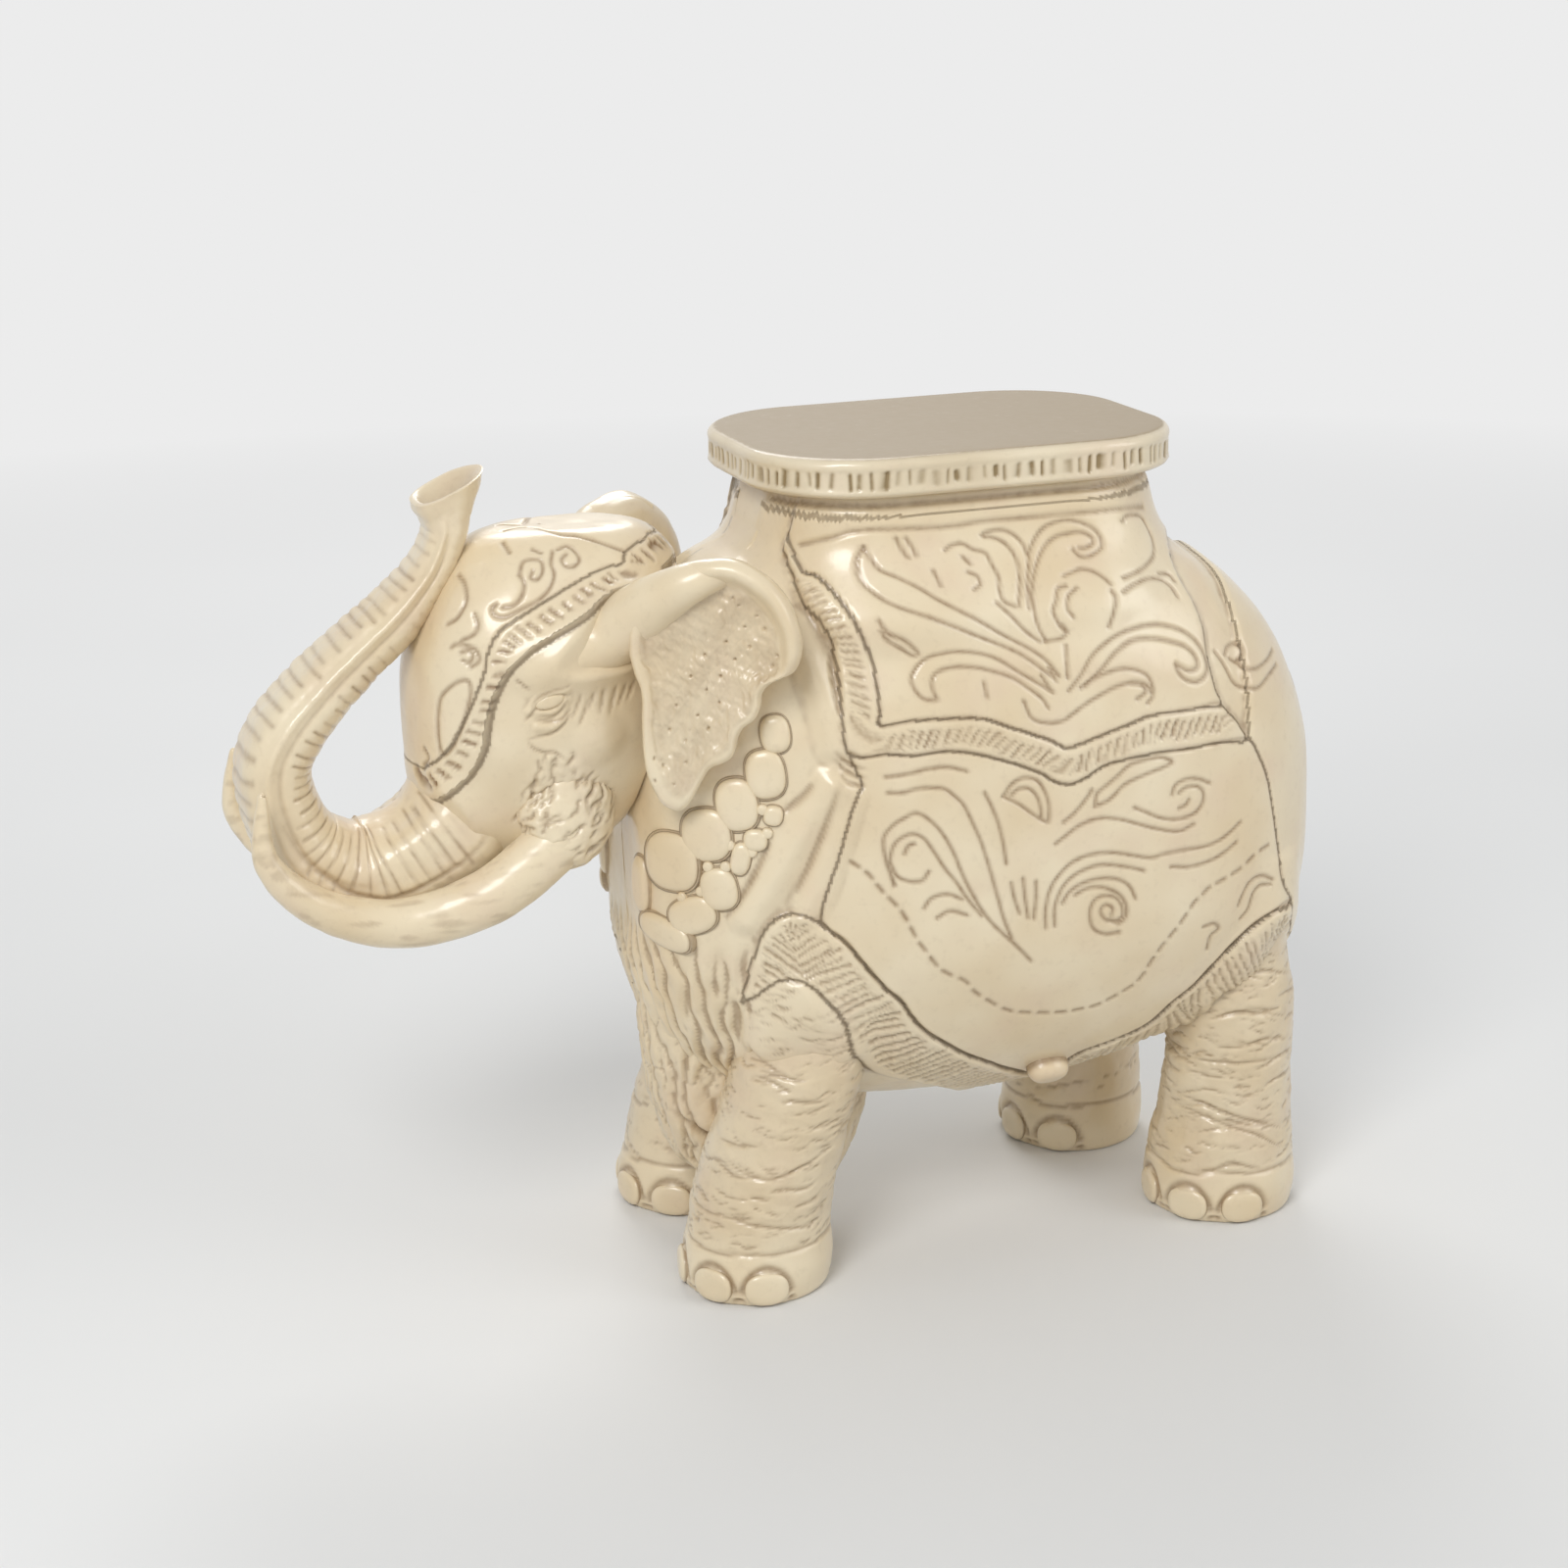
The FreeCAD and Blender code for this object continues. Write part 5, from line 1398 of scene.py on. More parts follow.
def make_trunk(look):
    """Makes the raised trunk: two ridges, ring dashes outside, creases inside the loop, and a flared tip."""
    rings = 360
    columns = 176
    table = station_line(TRUNK_SHARES, rings)
    line = np.column_stack([
        (TRUNK_ROOT[0] - table[:, 0] * TRUNK_SPAN[0]) * MM, np.zeros(rings),
        (TRUNK_ROOT[1] + table[:, 1] * TRUNK_SPAN[1]) * MM])
    run = run_of(line)
    turn = whole_turn(columns)
    outer = np.cos(turn)
    sine = np.sin(turn)
    squared = 1 + (squareness(turn, 3.0) - 1) * soft_step(outer, -0.6, 0.2)
    radius = TRUNK_RADIUS * squared[None, :] * (1 - 0.2 * (1 - soft_step(run, 0, 24 * MM)))[:, None]
    sheet = tube_sheet(line, table[:, 2:3] * radius, table[:, 3:4] * radius, columns)
    along, _, out = ring_frame(line)
    offset = np.sum((sheet.base - line[:, None]) * out[:, None], axis=-1)
    lean = TIP_TILT * soft_step(run, run[-1] - 30 * MM, run[-1])
    points = sheet.base - along[:, None] * (offset * lean[:, None])[..., None]
    cup = []
    for share, dip in CUP_SHARES:
        cup.append(line[-1] + along[-1] * dip * MM + (points[-1] - line[-1]) * share)
    body = sheet.normal
    middle = np.concatenate([line, line[-len(cup):]])[:, None]
    sheet = Sheet(np.concatenate([points, np.array(cup)]), True, middle)
    if np.sum(sheet.normal[:rings] * body) < 0:
        sheet.sense = -sheet.sense
        sheet.normal = -sheet.normal
    run = np.concatenate([run, np.full(len(cup), run[-1])])[:, None]
    swing = np.abs(np.arctan2(sine, outer))[None, :]
    tip = 1 - soft_step(run, run.max() - 42 * MM, run.max() - 18 * MM)
    ridged = soft_step(run, 60 * MM, 110 * MM) * (1 - soft_step(run, run.max() - 26 * MM, run.max() - 8 * MM))
    sheet.height += RIDGE_RISE * np.exp(-((swing - TRUNK_RIDGE_TURN) / 0.14) ** 2) * ridged
    line_turn = TRUNK_RIDGE_TURN + 0.30
    beside = np.exp(-((swing - line_turn) / 0.07) ** 2) * ridged * tip
    sheet.press(beside, 0.6 * MM, 0.4)
    sheet.height -= 1.0 * MM * np.exp(-(swing / 0.75) ** 2) * ridged
    hollow = np.exp(-((run - 46 * MM) / (19 * MM)) ** 2) * soft_step(swing, 1.9, 2.7)
    sheet.height -= LOOP_HOLLOW * hollow
    mark, length = ring_marks(run, RING_PITCH, sheet, 41, 0.17)
    reach = 0.66 + 0.26 * length
    dash = mark * (1 - soft_step(swing, reach, reach + 0.16)) * soft_step(run, 100 * MM, 125 * MM) * tip
    sheet.press(dash, 1.0 * MM, 0.8)
    mark, length = ring_marks(run, CREASE_PITCH, sheet, 42, 0.13)
    root = 1 - soft_step(run, 95 * MM, 140 * MM)
    start = line_turn + 0.10 + 0.25 * length - 0.75 * root
    finish = 2.75 - 0.3 * length
    last = 3.0 - 0.3 * length
    inner = soft_step(swing, start, start + 0.15) * (1 - soft_step(swing, finish, last))
    faint = 1 - 0.75 * soft_step(run, 210 * MM, 260 * MM)
    crease = mark * inner * tip * faint * soft_step(run, 22 * MM, 34 * MM)
    sheet.press(crease, 1.1 * MM, 0.75)
    tree = sheet.ray_tree()
    foot = traced(tree, TRUNK_FOOT_PIXELS)
    for side in (1, -1):
        flip = flipped(side)
        sheet.incise(foot * flip, HEM_WIDTH, LINE_DEPTH, 0.9, True)
        for pixels in TRUNK_ROOT_LINES:
            sheet.incise(traced(tree, pixels) * flip, HEM_WIDTH, HEM_DEPTH, 0.6, True)
    sheet.height[:rings] += 0.4 * MM * hills(sheet.base, 18 * MM, 43, 3)[:rings]
    # Painted shade inside the nostril cup: its rings grow darker towards the bottom of the cup
    sheet.wash[-len(cup):] = np.array([0.0, 0.1, 0.25, 0.4, 0.5, 0.55])[:, None]
    sheet.settle_wash(3)
    keep(closed_part(sheet), "trunk", look)


# Outline of the near ear, over its top to the rear and back along its ragged lower edge, in pixels
EAR_PIXELS = [
    (640, 662), (644, 625), (662, 594), (690, 578), (720, 572), (748, 572), (772, 583), (790, 597),
    (802, 612), (811, 630), (817, 651), (817, 670), (810, 687), (797, 694), (783, 701), (775, 711),
    (774, 724), (768, 737), (757, 745), (750, 757), (747, 772), (737, 781), (723, 787), (714, 801),
    (705, 817), (697, 827), (688, 830), (676, 824), (667, 811), (660, 795), (656, 775), (654, 750),
    (654, 725), (652, 704), (645, 684)]


EAR_PITS = [
    (748, 610), (754, 618), (772, 629), (780, 642), (793, 669), (788, 679), (750, 673), (719, 668),
    (721, 704), (734, 717), (723, 743), (699, 756), (677, 781), (668, 797), (668, 774), (760, 640),
    (741, 655), (705, 690), (690, 720), (683, 745), (700, 778), (765, 660), (735, 690), (712, 730),
    (688, 800)]


# Tusk stations from the mouth to the point: reach, rise above the lowest point, spread and radius, as shares
TUSK_SHARES = [
    (-0.10, 0.62, 0.80, 1.0), (0.08, 0.34, 0.94, 1.05), (0.30, 0.10, 1.0, 1.0), (0.58, 0.0, 0.92, 0.88),
    (0.84, 0.18, 0.94, 0.70), (1.0, 0.52, 0.98, 0.46), (1.0, 0.92, 0.92, 0.18), (0.995, 0.95, 0.92, 0.06)]


def make_tusk(side_name, side, look):
    """Makes one tusk: smooth, tapering to a blunt point, with faint lines along it."""
    table = station_line(TUSK_SHARES, 150)
    line = np.column_stack([
        (TUSK_ROOT[0] - table[:, 0] * TUSK_SPAN[0]) * MM, side * table[:, 2] * TUSK_ASIDE * MM,
        (TUSK_ROOT[1] + table[:, 1] * TUSK_SPAN[1]) * MM])
    radius = table[:, 3:4] * TUSK_RADIUS
    sheet = tube_sheet(line, radius, radius, 64)
    sheet.roughen(0.25 * MM, 16 * MM, 51, 2)
    sheet.wash += 0.35 * soft_step(hills(sheet.base * np.array([0.3, 1, 1]), 9 * MM, 52, 2), 0.1, 0.6)
    keep(closed_part(sheet), f"{side_name}_tusk", look)


# Ear sections from the middle of the front to the middle of the back: share of the spread, level in mm
# where the rim is rolled, and level in mm where the edge is plain
EAR_SECTION = [
    (0.02, 6.4, 6.6), (0.15, 6.2, 6.6), (0.30, 5.8, 6.8), (0.45, 5.4, 7.2), (0.58, 5.4, 7.6),
    (0.68, 5.8, 8.2), (0.75, 7.0, 8.8), (0.80, 9.4, 9.4), (0.84, 12.4, 9.9), (0.88, 14.4, 10.2),
    (0.92, 14.9, 10.2), (0.96, 13.8, 9.4), (0.99, 11.0, 7.4), (1.0, 8.0, 5.0), (0.99, 4.0, 2.0),
    (0.97, 0.0, -1.0), (0.92, -6.0, -6.0), (0.80, -11.0, -11.0), (0.55, -14.0, -14.0), (0.25, -15.0, -15.0),
    (0.02, -15.0, -15.0)]


def ear_plane(side):
    """Gives the ear's front lower corner, its directions along and up, and the way it faces."""
    turn = math.radians(side * 30.0)
    along = np.array([math.cos(turn), math.sin(turn), 0])
    outward = side * np.array([-math.sin(turn), math.cos(turn), 0])
    return np.array([-105.6 * MM, side * 56 * MM, 266 * MM]), along, outward


def ear_outline():
    """Finds the ear's outline in its own plane, where the camera sees its edge."""
    start, along, outward = ear_plane(-1)
    lifted = start + outward * 10 * MM
    eye = np.array(EYE)
    places = []
    for pixel in EAR_PIXELS:
        ray = np.array(sight(pixel))
        hit = eye + ray * np.dot(lifted - eye, outward) / np.dot(ray, outward) - lifted
        places.append((np.dot(hit, along), hit[2]))
    return np.array(places)


def make_ear(side_name, side, look, pits):
    """Makes one ear: a smooth rolled rim over a rough pitted hollow. The near ear finds the pits for both."""
    columns = 340 if side < 0 else 230
    outline = smooth_line(ear_outline(), 1.2 * MM, True)
    closed = np.vstack([outline, outline[:1]])
    run = run_of(closed)
    at = np.linspace(0, run[-1], columns, endpoint=False)
    ring = np.stack([np.interp(at, run, closed[:, axis]) for axis in range(2)], axis=-1)
    middle = np.array([0.50 * outline[:, 0].max(), 0.56 * outline[:, 1].max()])
    size = outline.max(axis=0)
    rear = soft_step(ring[:, 0] / size[0], 0.30, 0.62)
    rolled = soft_step(ring[:, 1] / size[1], 0.48, 0.66) * (0.35 + 0.65 * rear)
    front = 1 - soft_step(ring[:, 0] / size[0], 0.12, 0.30)
    rolled = np.maximum(rolled, 0.45 * front)
    rows = np.array([(spread * EAR_REACH, high, low) for spread, high, low in EAR_SECTION])
    section = smooth_line(rows, 0.8)
    spread = section[:, :1] / EAR_REACH
    level = section[:, 2:3] + (section[:, 1:2] - section[:, 2:3]) * rolled[None, :]
    flat = middle + (ring - middle)[None] * spread[..., None]
    start, along, outward = ear_plane(side)
    upright = np.array([0, 0, 1.0])
    points = start + flat[..., :1] * along + flat[..., 1:] * upright + (level * MM)[..., None] * outward
    sheet = Sheet(points, True, start + middle[0] * along + middle[1] * upright)
    facing = np.arange(len(section)) < np.argmax(section[:, 1])
    limit = 0.78 + 0.14 * (1 - rolled)[None, :]
    field = facing[:, None] * (1 - soft_step(spread, limit - 0.06, limit))
    slope = along * 0.5 + upright * 0.86
    across = along * 0.86 - upright * 0.5
    place = np.stack([sheet.base @ slope * 0.35, sheet.base @ across, sheet.base @ outward], axis=-1)
    sheet.height += field * 1.3 * MM * hills(place, 22 * MM, 61, 2)
    sheet.height += field * 0.75 * MM * hills(sheet.base, 5.5 * MM, 62, 2)
    sheet.stain(field * (0.22 + 0.2 * soft_step(hills(place, 30 * MM, 63, 2), -0.2, 0.5)))
    flip = flipped(-side)
    if pits is None:
        tree = sheet.ray_tree()
        hits = [seen(tree, pixel)[0] for pixel in EAR_PITS]
        pits = [np.array(hit) for hit in hits if hit is not None]
    for place in pits:
        sheet.incise((place * flip)[None], *PIT_CUT)
    sheet.roughen(0.3 * MM, 20 * MM, 66, 2)
    sheet.settle_wash(3, 0.5)
    keep(closed_part(sheet), f"{side_name}_ear", look)
    return pits


# Leg levels from the floor up: height, how much of the lean is reached, and radius, as shares
FRONT_LEG_SHARES = [
    (0.0, 0.0, 0.95), (0.07, 0.01, 1.0), (0.17, 0.06, 0.93), (0.30, 0.18, 0.92), (0.50, 0.52, 0.87),
    (0.72, 0.80, 0.90), (1.0, 1.0, 0.95)]
HIND_LEG_SHARES = [
    (0.0, 0.0, 0.95), (0.07, 0.0, 1.0), (0.17, -0.2, 0.95), (0.30, -0.7, 0.88), (0.50, -1.0, 0.84),
    (0.72, -0.4, 0.90), (1.0, 1.0, 0.92)]
LEG_TALL = 205 * MM
LEG_SPREAD = 58 * MM
FRONT_NAIL_TURNS = [-58.0, -12.0, 36.0, 80.0]
HIND_NAIL_TURNS = [-54.0, -8.0, 38.0, 82.0]

# Folds of the near legs, in pixels
FRONT_LEG_FOLDS = [
    [(736, 1174), (748, 1190), (763, 1200), (782, 1204), (800, 1201), (826, 1188), (850, 1170)],
    [(764, 1078), (778, 1084), (790, 1092), (803, 1098)],
    [(768, 1097), (785, 1103), (805, 1114)],
    [(726, 1236), (745, 1244), (775, 1252), (810, 1254), (840, 1248)],
    [(786, 1004), (798, 1000), (810, 1000), (820, 1006)],
    [(800, 1122), (820, 1125), (842, 1124)],
    [(795, 1048), (815, 1050), (832, 1046)],
]
HIND_LEG_FOLDS = [
    [(1187, 1120), (1208, 1130), (1231, 1141), (1258, 1151), (1285, 1159), (1314, 1174)],
    [(1196, 1112), (1225, 1126), (1262, 1140), (1314, 1152)],
    [(1220, 1081), (1245, 1084), (1268, 1085), (1305, 1078)],
    [(1262, 1000), (1280, 993), (1300, 991), (1316, 993)],
    [(1240, 1040), (1270, 1034), (1312, 1036)],
]


def level_way(middle):
    """Gives a rule that finds the level direction round an upright middle line."""
    def way(place):
        return np.array([-(place[1] - middle[1]), place[0] - middle[0], 0.0]) + 1e-9
    return way


def make_leg(title, shares, foot_x, lean, side, radius, turns, look):
    """Makes one leg: level wrinkles, ankle crease, round sole edge and the grooves round its nails."""
    near = side < 0
    columns = 220 if near else 130
    level = np.concatenate([np.linspace(0, 6, 14), np.linspace(7, 205, 184 if near else 106)]) * MM
    table = smooth_line(np.array(shares) * np.array([200.0, 40.0, 40.0]), 1.0) / np.array([200.0, 40.0, 40.0])
    reach = np.interp(level / LEG_TALL, table[:, 0], table[:, 1])
    girth = np.interp(level / LEG_TALL, table[:, 0], table[:, 2])
    girth = girth - 0.10 * soft_step(level, 118 * MM, 150 * MM)
    sole = np.sqrt(np.clip(1 - (1 - np.clip(level / (4 * MM), 0, 1)) ** 2, 0, 1))
    line = np.column_stack([foot_x + reach * lean, np.full(len(level), side * LEG_SPREAD), level])
    ring_radius = girth * radius - 2.5 * MM * (1 - sole)
    turn = whole_turn(columns)
    circle = np.stack([np.cos(turn), np.sin(turn), np.zeros(columns)], axis=-1)
    sheet = Sheet(line[:, None] + ring_radius[:, None, None] * circle, True, line[:, None])
    seed = int(abs(foot_x) / MM) + (1 if near else 2)
    lift = sheet.base[..., 2]
    bare = (lift > 31 * MM) & (lift < 150 * MM)
    way = level_way((foot_x + 0.5 * lean, side * LEG_SPREAD))
    count = 330 if near else 130
    cut_strokes(sheet, bare, way, count, *WRINKLE, seed, 0.07)
    cut_strokes(sheet, bare, way, count // 5, *LONG_WRINKLE, seed + 5, 0.05)
    tree = sheet.ray_tree()
    for pixels in (FRONT_LEG_FOLDS if lean > 0 else HIND_LEG_FOLDS) if near else ():
        sheet.incise(traced(tree, pixels), *FOLD_CUT, True)
    wander = hills(sheet.base * np.array([1, 1, 1.8]), 44 * MM, seed, 3)
    crease = groove(lift - 29 * MM - 2.5 * MM * wander, 1.8 * MM)
    sheet.press(crease, 1.2 * MM, 0.35)
    bulge = np.sin(lift / (13 * MM) + wander * 2.2)
    sheet.height += 0.55 * MM * bulge * soft_step(lift, 34 * MM, 48 * MM)
    sheet.height += 0.8 * MM * hills(sheet.base, 38 * MM, seed + 2, 3) * soft_step(lift, 4 * MM, 20 * MM)
    # The leg is tinted evenly darker above the ankle
    sheet.stain(0.16 * soft_step(lift, 24 * MM, 44 * MM))
    for degrees in turns:
        arch_nail(sheet, degrees, foot_x, side, radius)
    sheet.settle_wash(3)
    keep(closed_part(sheet), f"{title}_leg", look)


def arch_nail(sheet, degrees, foot_x, side, radius):
    """Cuts the arched groove over one toenail."""
    arch = []
    for share in np.linspace(-1, 1, 40):
        swing = math.radians(degrees) + share * ARCH_HALF_WIDTH / radius
        rise = ARCH_FOOT + ARCH_RISE * math.sqrt(max(1 - share ** 2, 0))
        arch.append((
            foot_x - radius * math.cos(swing), side * (LEG_SPREAD + radius * math.sin(swing)), rise))
    sheet.incise(np.array(arch), *NAIL_CUT)


def scatter_group(look):
    """Builds the tree that sets one shape on every point, turned and scaled by the point's attributes."""
    group = bpy.data.node_groups.new("moulded_rows", "GeometryNodeTree")
    for name, direction, kind in (
            ("Geometry", "INPUT", "NodeSocketGeometry"), ("Shape", "INPUT", "NodeSocketObject"),
            ("Size", "INPUT", "NodeSocketFloat"), ("Geometry", "OUTPUT", "NodeSocketGeometry")):
        group.interface.new_socket(name, in_out=direction, socket_type=kind)
    new = group.nodes.new
    start = new("NodeGroupInput")
    end = new("NodeGroupOutput")
    info = new("GeometryNodeObjectInfo")
    sized = new("ShaderNodeVectorMath")
    sized.operation = "SCALE"
    places = new("GeometryNodeInstanceOnPoints")
    real = new("GeometryNodeRealizeInstances")
    coat = new("GeometryNodeSetMaterial")
    coat.inputs["Material"].default_value = look
    read = {}
    for name in ("turn", "stretch"):
        read[name] = new("GeometryNodeInputNamedAttribute")
        read[name].data_type = "FLOAT_VECTOR"
        read[name].inputs["Name"].default_value = name
    for source, target in (
            (start.outputs["Shape"], info.inputs["Object"]),
            (start.outputs["Geometry"], places.inputs["Points"]),
            (info.outputs["Geometry"], places.inputs["Instance"]),
            (read["turn"].outputs["Attribute"], places.inputs["Rotation"]),
            (read["stretch"].outputs["Attribute"], sized.inputs[0]),
            (start.outputs["Size"], sized.inputs["Scale"]),
            (sized.outputs["Vector"], places.inputs["Scale"]),
            (places.outputs["Instances"], real.inputs["Geometry"]),
            (real.outputs["Geometry"], coat.inputs["Geometry"]),
            (coat.outputs["Geometry"], end.inputs["Geometry"])):
        group.links.new(source, target)
    return group


def scattered(name, shape, spots, look, size=1.0):
    """Sets a moulded shape on each spot (place, axes, stretch) and gives one plain mesh object."""
    mesh = bpy.data.meshes.new(f"{name}_spots")
    mesh.from_pydata([tuple(place) for place, _, _ in spots], [], [])
    turns = mesh.attributes.new("turn", "FLOAT_VECTOR", "POINT")
    stretches = mesh.attributes.new("stretch", "FLOAT_VECTOR", "POINT")
    for number, (_, axes, stretch) in enumerate(spots):
        turns.data[number].vector = Matrix(np.array(axes).T.tolist()).to_euler()
        stretches.data[number].vector = stretch
    holder = placed(f"{name}_holder", mesh)
    group = scatter_group(look)
    modifier = holder.modifiers.new("rows", "NODES")
    modifier.node_group = group
    chosen = {"Shape": shape, "Size": size}
    for item in group.interface.items_tree:
        if item.in_out == "INPUT" and item.name in chosen:
            modifier[item.identifier] = chosen[item.name]
    bpy.context.view_layer.update()
    grown = bpy.data.meshes.new_from_object(holder.evaluated_get(bpy.context.evaluated_depsgraph_get()))
    grown.polygons.foreach_set("use_smooth", np.ones(len(grown.polygons), bool))
    piece = placed(name, grown)
    bpy.data.objects.remove(holder)
    return piece


def moulded_shape(name, length, width, rise, power, columns=40, rings=9, skirt=1.0):
    """Makes a domed shape of rounded outline that lies on its own level plane, with a flat underside."""
    profile = [(skirt, -3.0 * MM)]
    if skirt > 1.0:
        profile += [(skirt, 0.3 * MM), (1.02, 0.25 * MM)]
    for share in np.linspace(0, 1, rings):
        angle = share * math.pi / 2
        profile.append((max(math.cos(angle), 0.003) ** 0.5, rise * math.sin(angle)))
    turn = whole_turn(columns)
    scale = squareness(turn, power)
    rows = []
    for spread, level in profile:
        rows.append(np.column_stack([
            length / 2 * np.cos(turn) * scale * spread, width / 2 * np.sin(turn) * scale * spread,
            np.full(columns, level)]))
    sheet = Sheet(np.array(rows), True, np.zeros(3))
    sheet.wash = np.clip(0.9 - sheet.base[..., 2] / rise * 2.6, 0, 0.9)
    return closed_part(sheet).make(name)


# Collar plates of the near side: centre pixel, width and height in pixels, and lean in degrees
UPPER_PLATES = [
    (791, 749, 31, 40, -8), (781, 790, 40, 52, -10), (752, 821, 42, 56, -12), (721, 852, 48, 56, -10),
    (686, 879, 50, 62, -4)]


LOWER_PLATES = [
    (789, 832, 20, 22, 10), (771, 857, 24, 24, 0), (756, 876, 20, 36, 12), (734, 907, 36, 46, -14),
    (707, 934, 46, 40, -30), (655, 902, 20, 60, -12), (679, 951, 44, 34, 20)]


PLATE_BEADS = [
    (783, 850), (764, 838), (767, 869), (745, 862), (778, 826), (741, 884), (723, 884), (716, 909),
    (697, 915)]


def frame_on(normal, upward=(0, 0, 1)):
    """Gives three axes: upright along the surface, across it, and out of it."""
    normal = unit(np.array(normal, float))
    lengthwise = unit(np.array(upward, float) - normal * np.dot(upward, normal))
    return lengthwise, np.cross(normal, lengthwise), normal


def make_plates(look, tree):
    """Makes the two rows of collar plates, and the beads between them."""
    plate = moulded_shape("plate_shape", PLATE_SIZE, PLATE_SIZE, PLATE_RISE, 2.5, 48, 12, 1.09)
    bead = moulded_shape("bead_shape", BEAD_SIZE, BEAD_SIZE, BEAD_RISE, 2.0, 16, 5)
    for label, pixels, extras in (
            ("collar_plates_upper", UPPER_PLATES, ()), ("collar_plates_lower", LOWER_PLATES, PLATE_BEADS)):
        plates = []
        beads = []
        for x, y, wide, tall, lean in pixels:
            hit, normal, _, far = seen(tree, (x, y))
            scale = far / FOCAL_PIXELS
            facing = abs(normal.dot(Vector(sight((x, y)))))
            size = (tall * scale / PLATE_SIZE, wide * scale / PLATE_SIZE / max(facing, PLATE_FACING), 1.0)
            swing = math.radians(lean)
            upward = np.array([math.sin(swing), 0, math.cos(swing)])
            for side in (1, -1):
                flip = flipped(side)
                if side < 0 and abs(hit.y) < wide * scale / 2:
                    continue
                plates.append((np.array(hit) * flip, frame_on(np.array(normal) * flip, upward), size))
        for pixel in extras:
            hit, normal, _, _ = seen(tree, pixel)
            for side in (1, -1):
                flip = flipped(side)
                beads.append((np.array(hit) * flip, frame_on(np.array(normal) * flip), (1.0, 1.0, 1.0)))
        finish_piece(scattered(f"{label}_relief", plate, plates, look), look, label)
        if beads:
            finish_piece(scattered(f"{label}_beads", bead, beads, look), look)
    bpy.data.objects.remove(plate)
    bpy.data.objects.remove(bead)


def make_legs(look):
    """Makes the four legs and the domed nails on each foot."""
    nail = moulded_shape("nail_shape", *NAIL_SIZE, 2.4, 36, 9)
    for end, shares, lean, radius, turns in (
            ("front", FRONT_LEG_SHARES, FRONT_LEAN, FRONT_RADIUS, FRONT_NAIL_TURNS),
            ("rear", HIND_LEG_SHARES, HIND_LEAN, HIND_RADIUS, HIND_NAIL_TURNS)):
        for side_name, side in (("left", -1), ("right", 1)):
            foot_x = (FRONT_FOOT if end == "front" else HIND_FOOT - side * HIND_FOOT_OFFSET) * MM
            title = f"{end}_{side_name}"
            make_leg(title, shares, foot_x, lean, side, radius, turns, look)
            spots = []
            for degrees in turns:
                angle = math.radians(degrees)
                normal = np.array([-math.cos(angle), side * math.sin(angle), 0])
                centre = np.array([foot_x, side * LEG_SPREAD, NAIL_LEVEL])
                spots.append((centre + normal * (radius - NAIL_BEDDING), frame_on(normal), (1.0, 1.0, 1.0)))
            name = f"{title}_toenails"
            finish_piece(scattered(f"{name}_relief", nail, spots, look), look, name)
    bpy.data.objects.remove(nail)


# Web between the front legs: level, front edge and rear edge, in mm
WEB_LEVELS = [
    (34, -44, 22), (50, -66, 32), (80, -77, 40), (112, -81, 46), (140, -83, 48), (178, -84, 50),
    (205, -60, 48)]


WEB_GROOVE_PIXELS = [(683, 1131), (697, 1142), (715, 1155), (735, 1168), (752, 1187)]


def make_web(look):
    """Makes the folded web of skin between the front legs."""
    levels = smooth_line(np.array(WEB_LEVELS, float), 1.3) * MM
    columns = 230
    turn = whole_turn(columns)
    scale = squareness(turn, 2.6)
    rows = []
    for level, front, back in levels:
        centre = -1.6 * MM + (back + front) / 2
        half = (30 + 8 * soft_step(level, 45 * MM, 80 * MM)) * MM
        rows.append(np.column_stack([
            centre + (back - front) / 2 * np.cos(turn) * scale, half * np.sin(turn) * scale,
            np.full(columns, level)]))
    sheet = Sheet(np.array(rows), True)
    flat = sheet.base * np.array([1, 1, 0.45])
    wander = hills(flat, 30 * MM, 71, 3)
    wave = np.abs(np.sin(sheet.base[..., 1] / (9 * MM) * math.pi + wander * 2.6))
    sheet.height += 2.6 * MM * wave - 1.3 * MM
    crease = np.abs(hills(flat, 18 * MM, 73, 3))
    sheet.height -= 0.9 * MM * (1 - soft_step(crease, 0.0, 0.2))
    sheet.roughen(0.7 * MM, 16 * MM, 72, 3)
    sheet.incise(traced(sheet.ray_tree(), WEB_GROOVE_PIXELS), *WEB_CUT, True)
    sheet.stain(0.12)
    sheet.settle_wash(4)
    keep(closed_part(sheet), "front_leg_web", look)


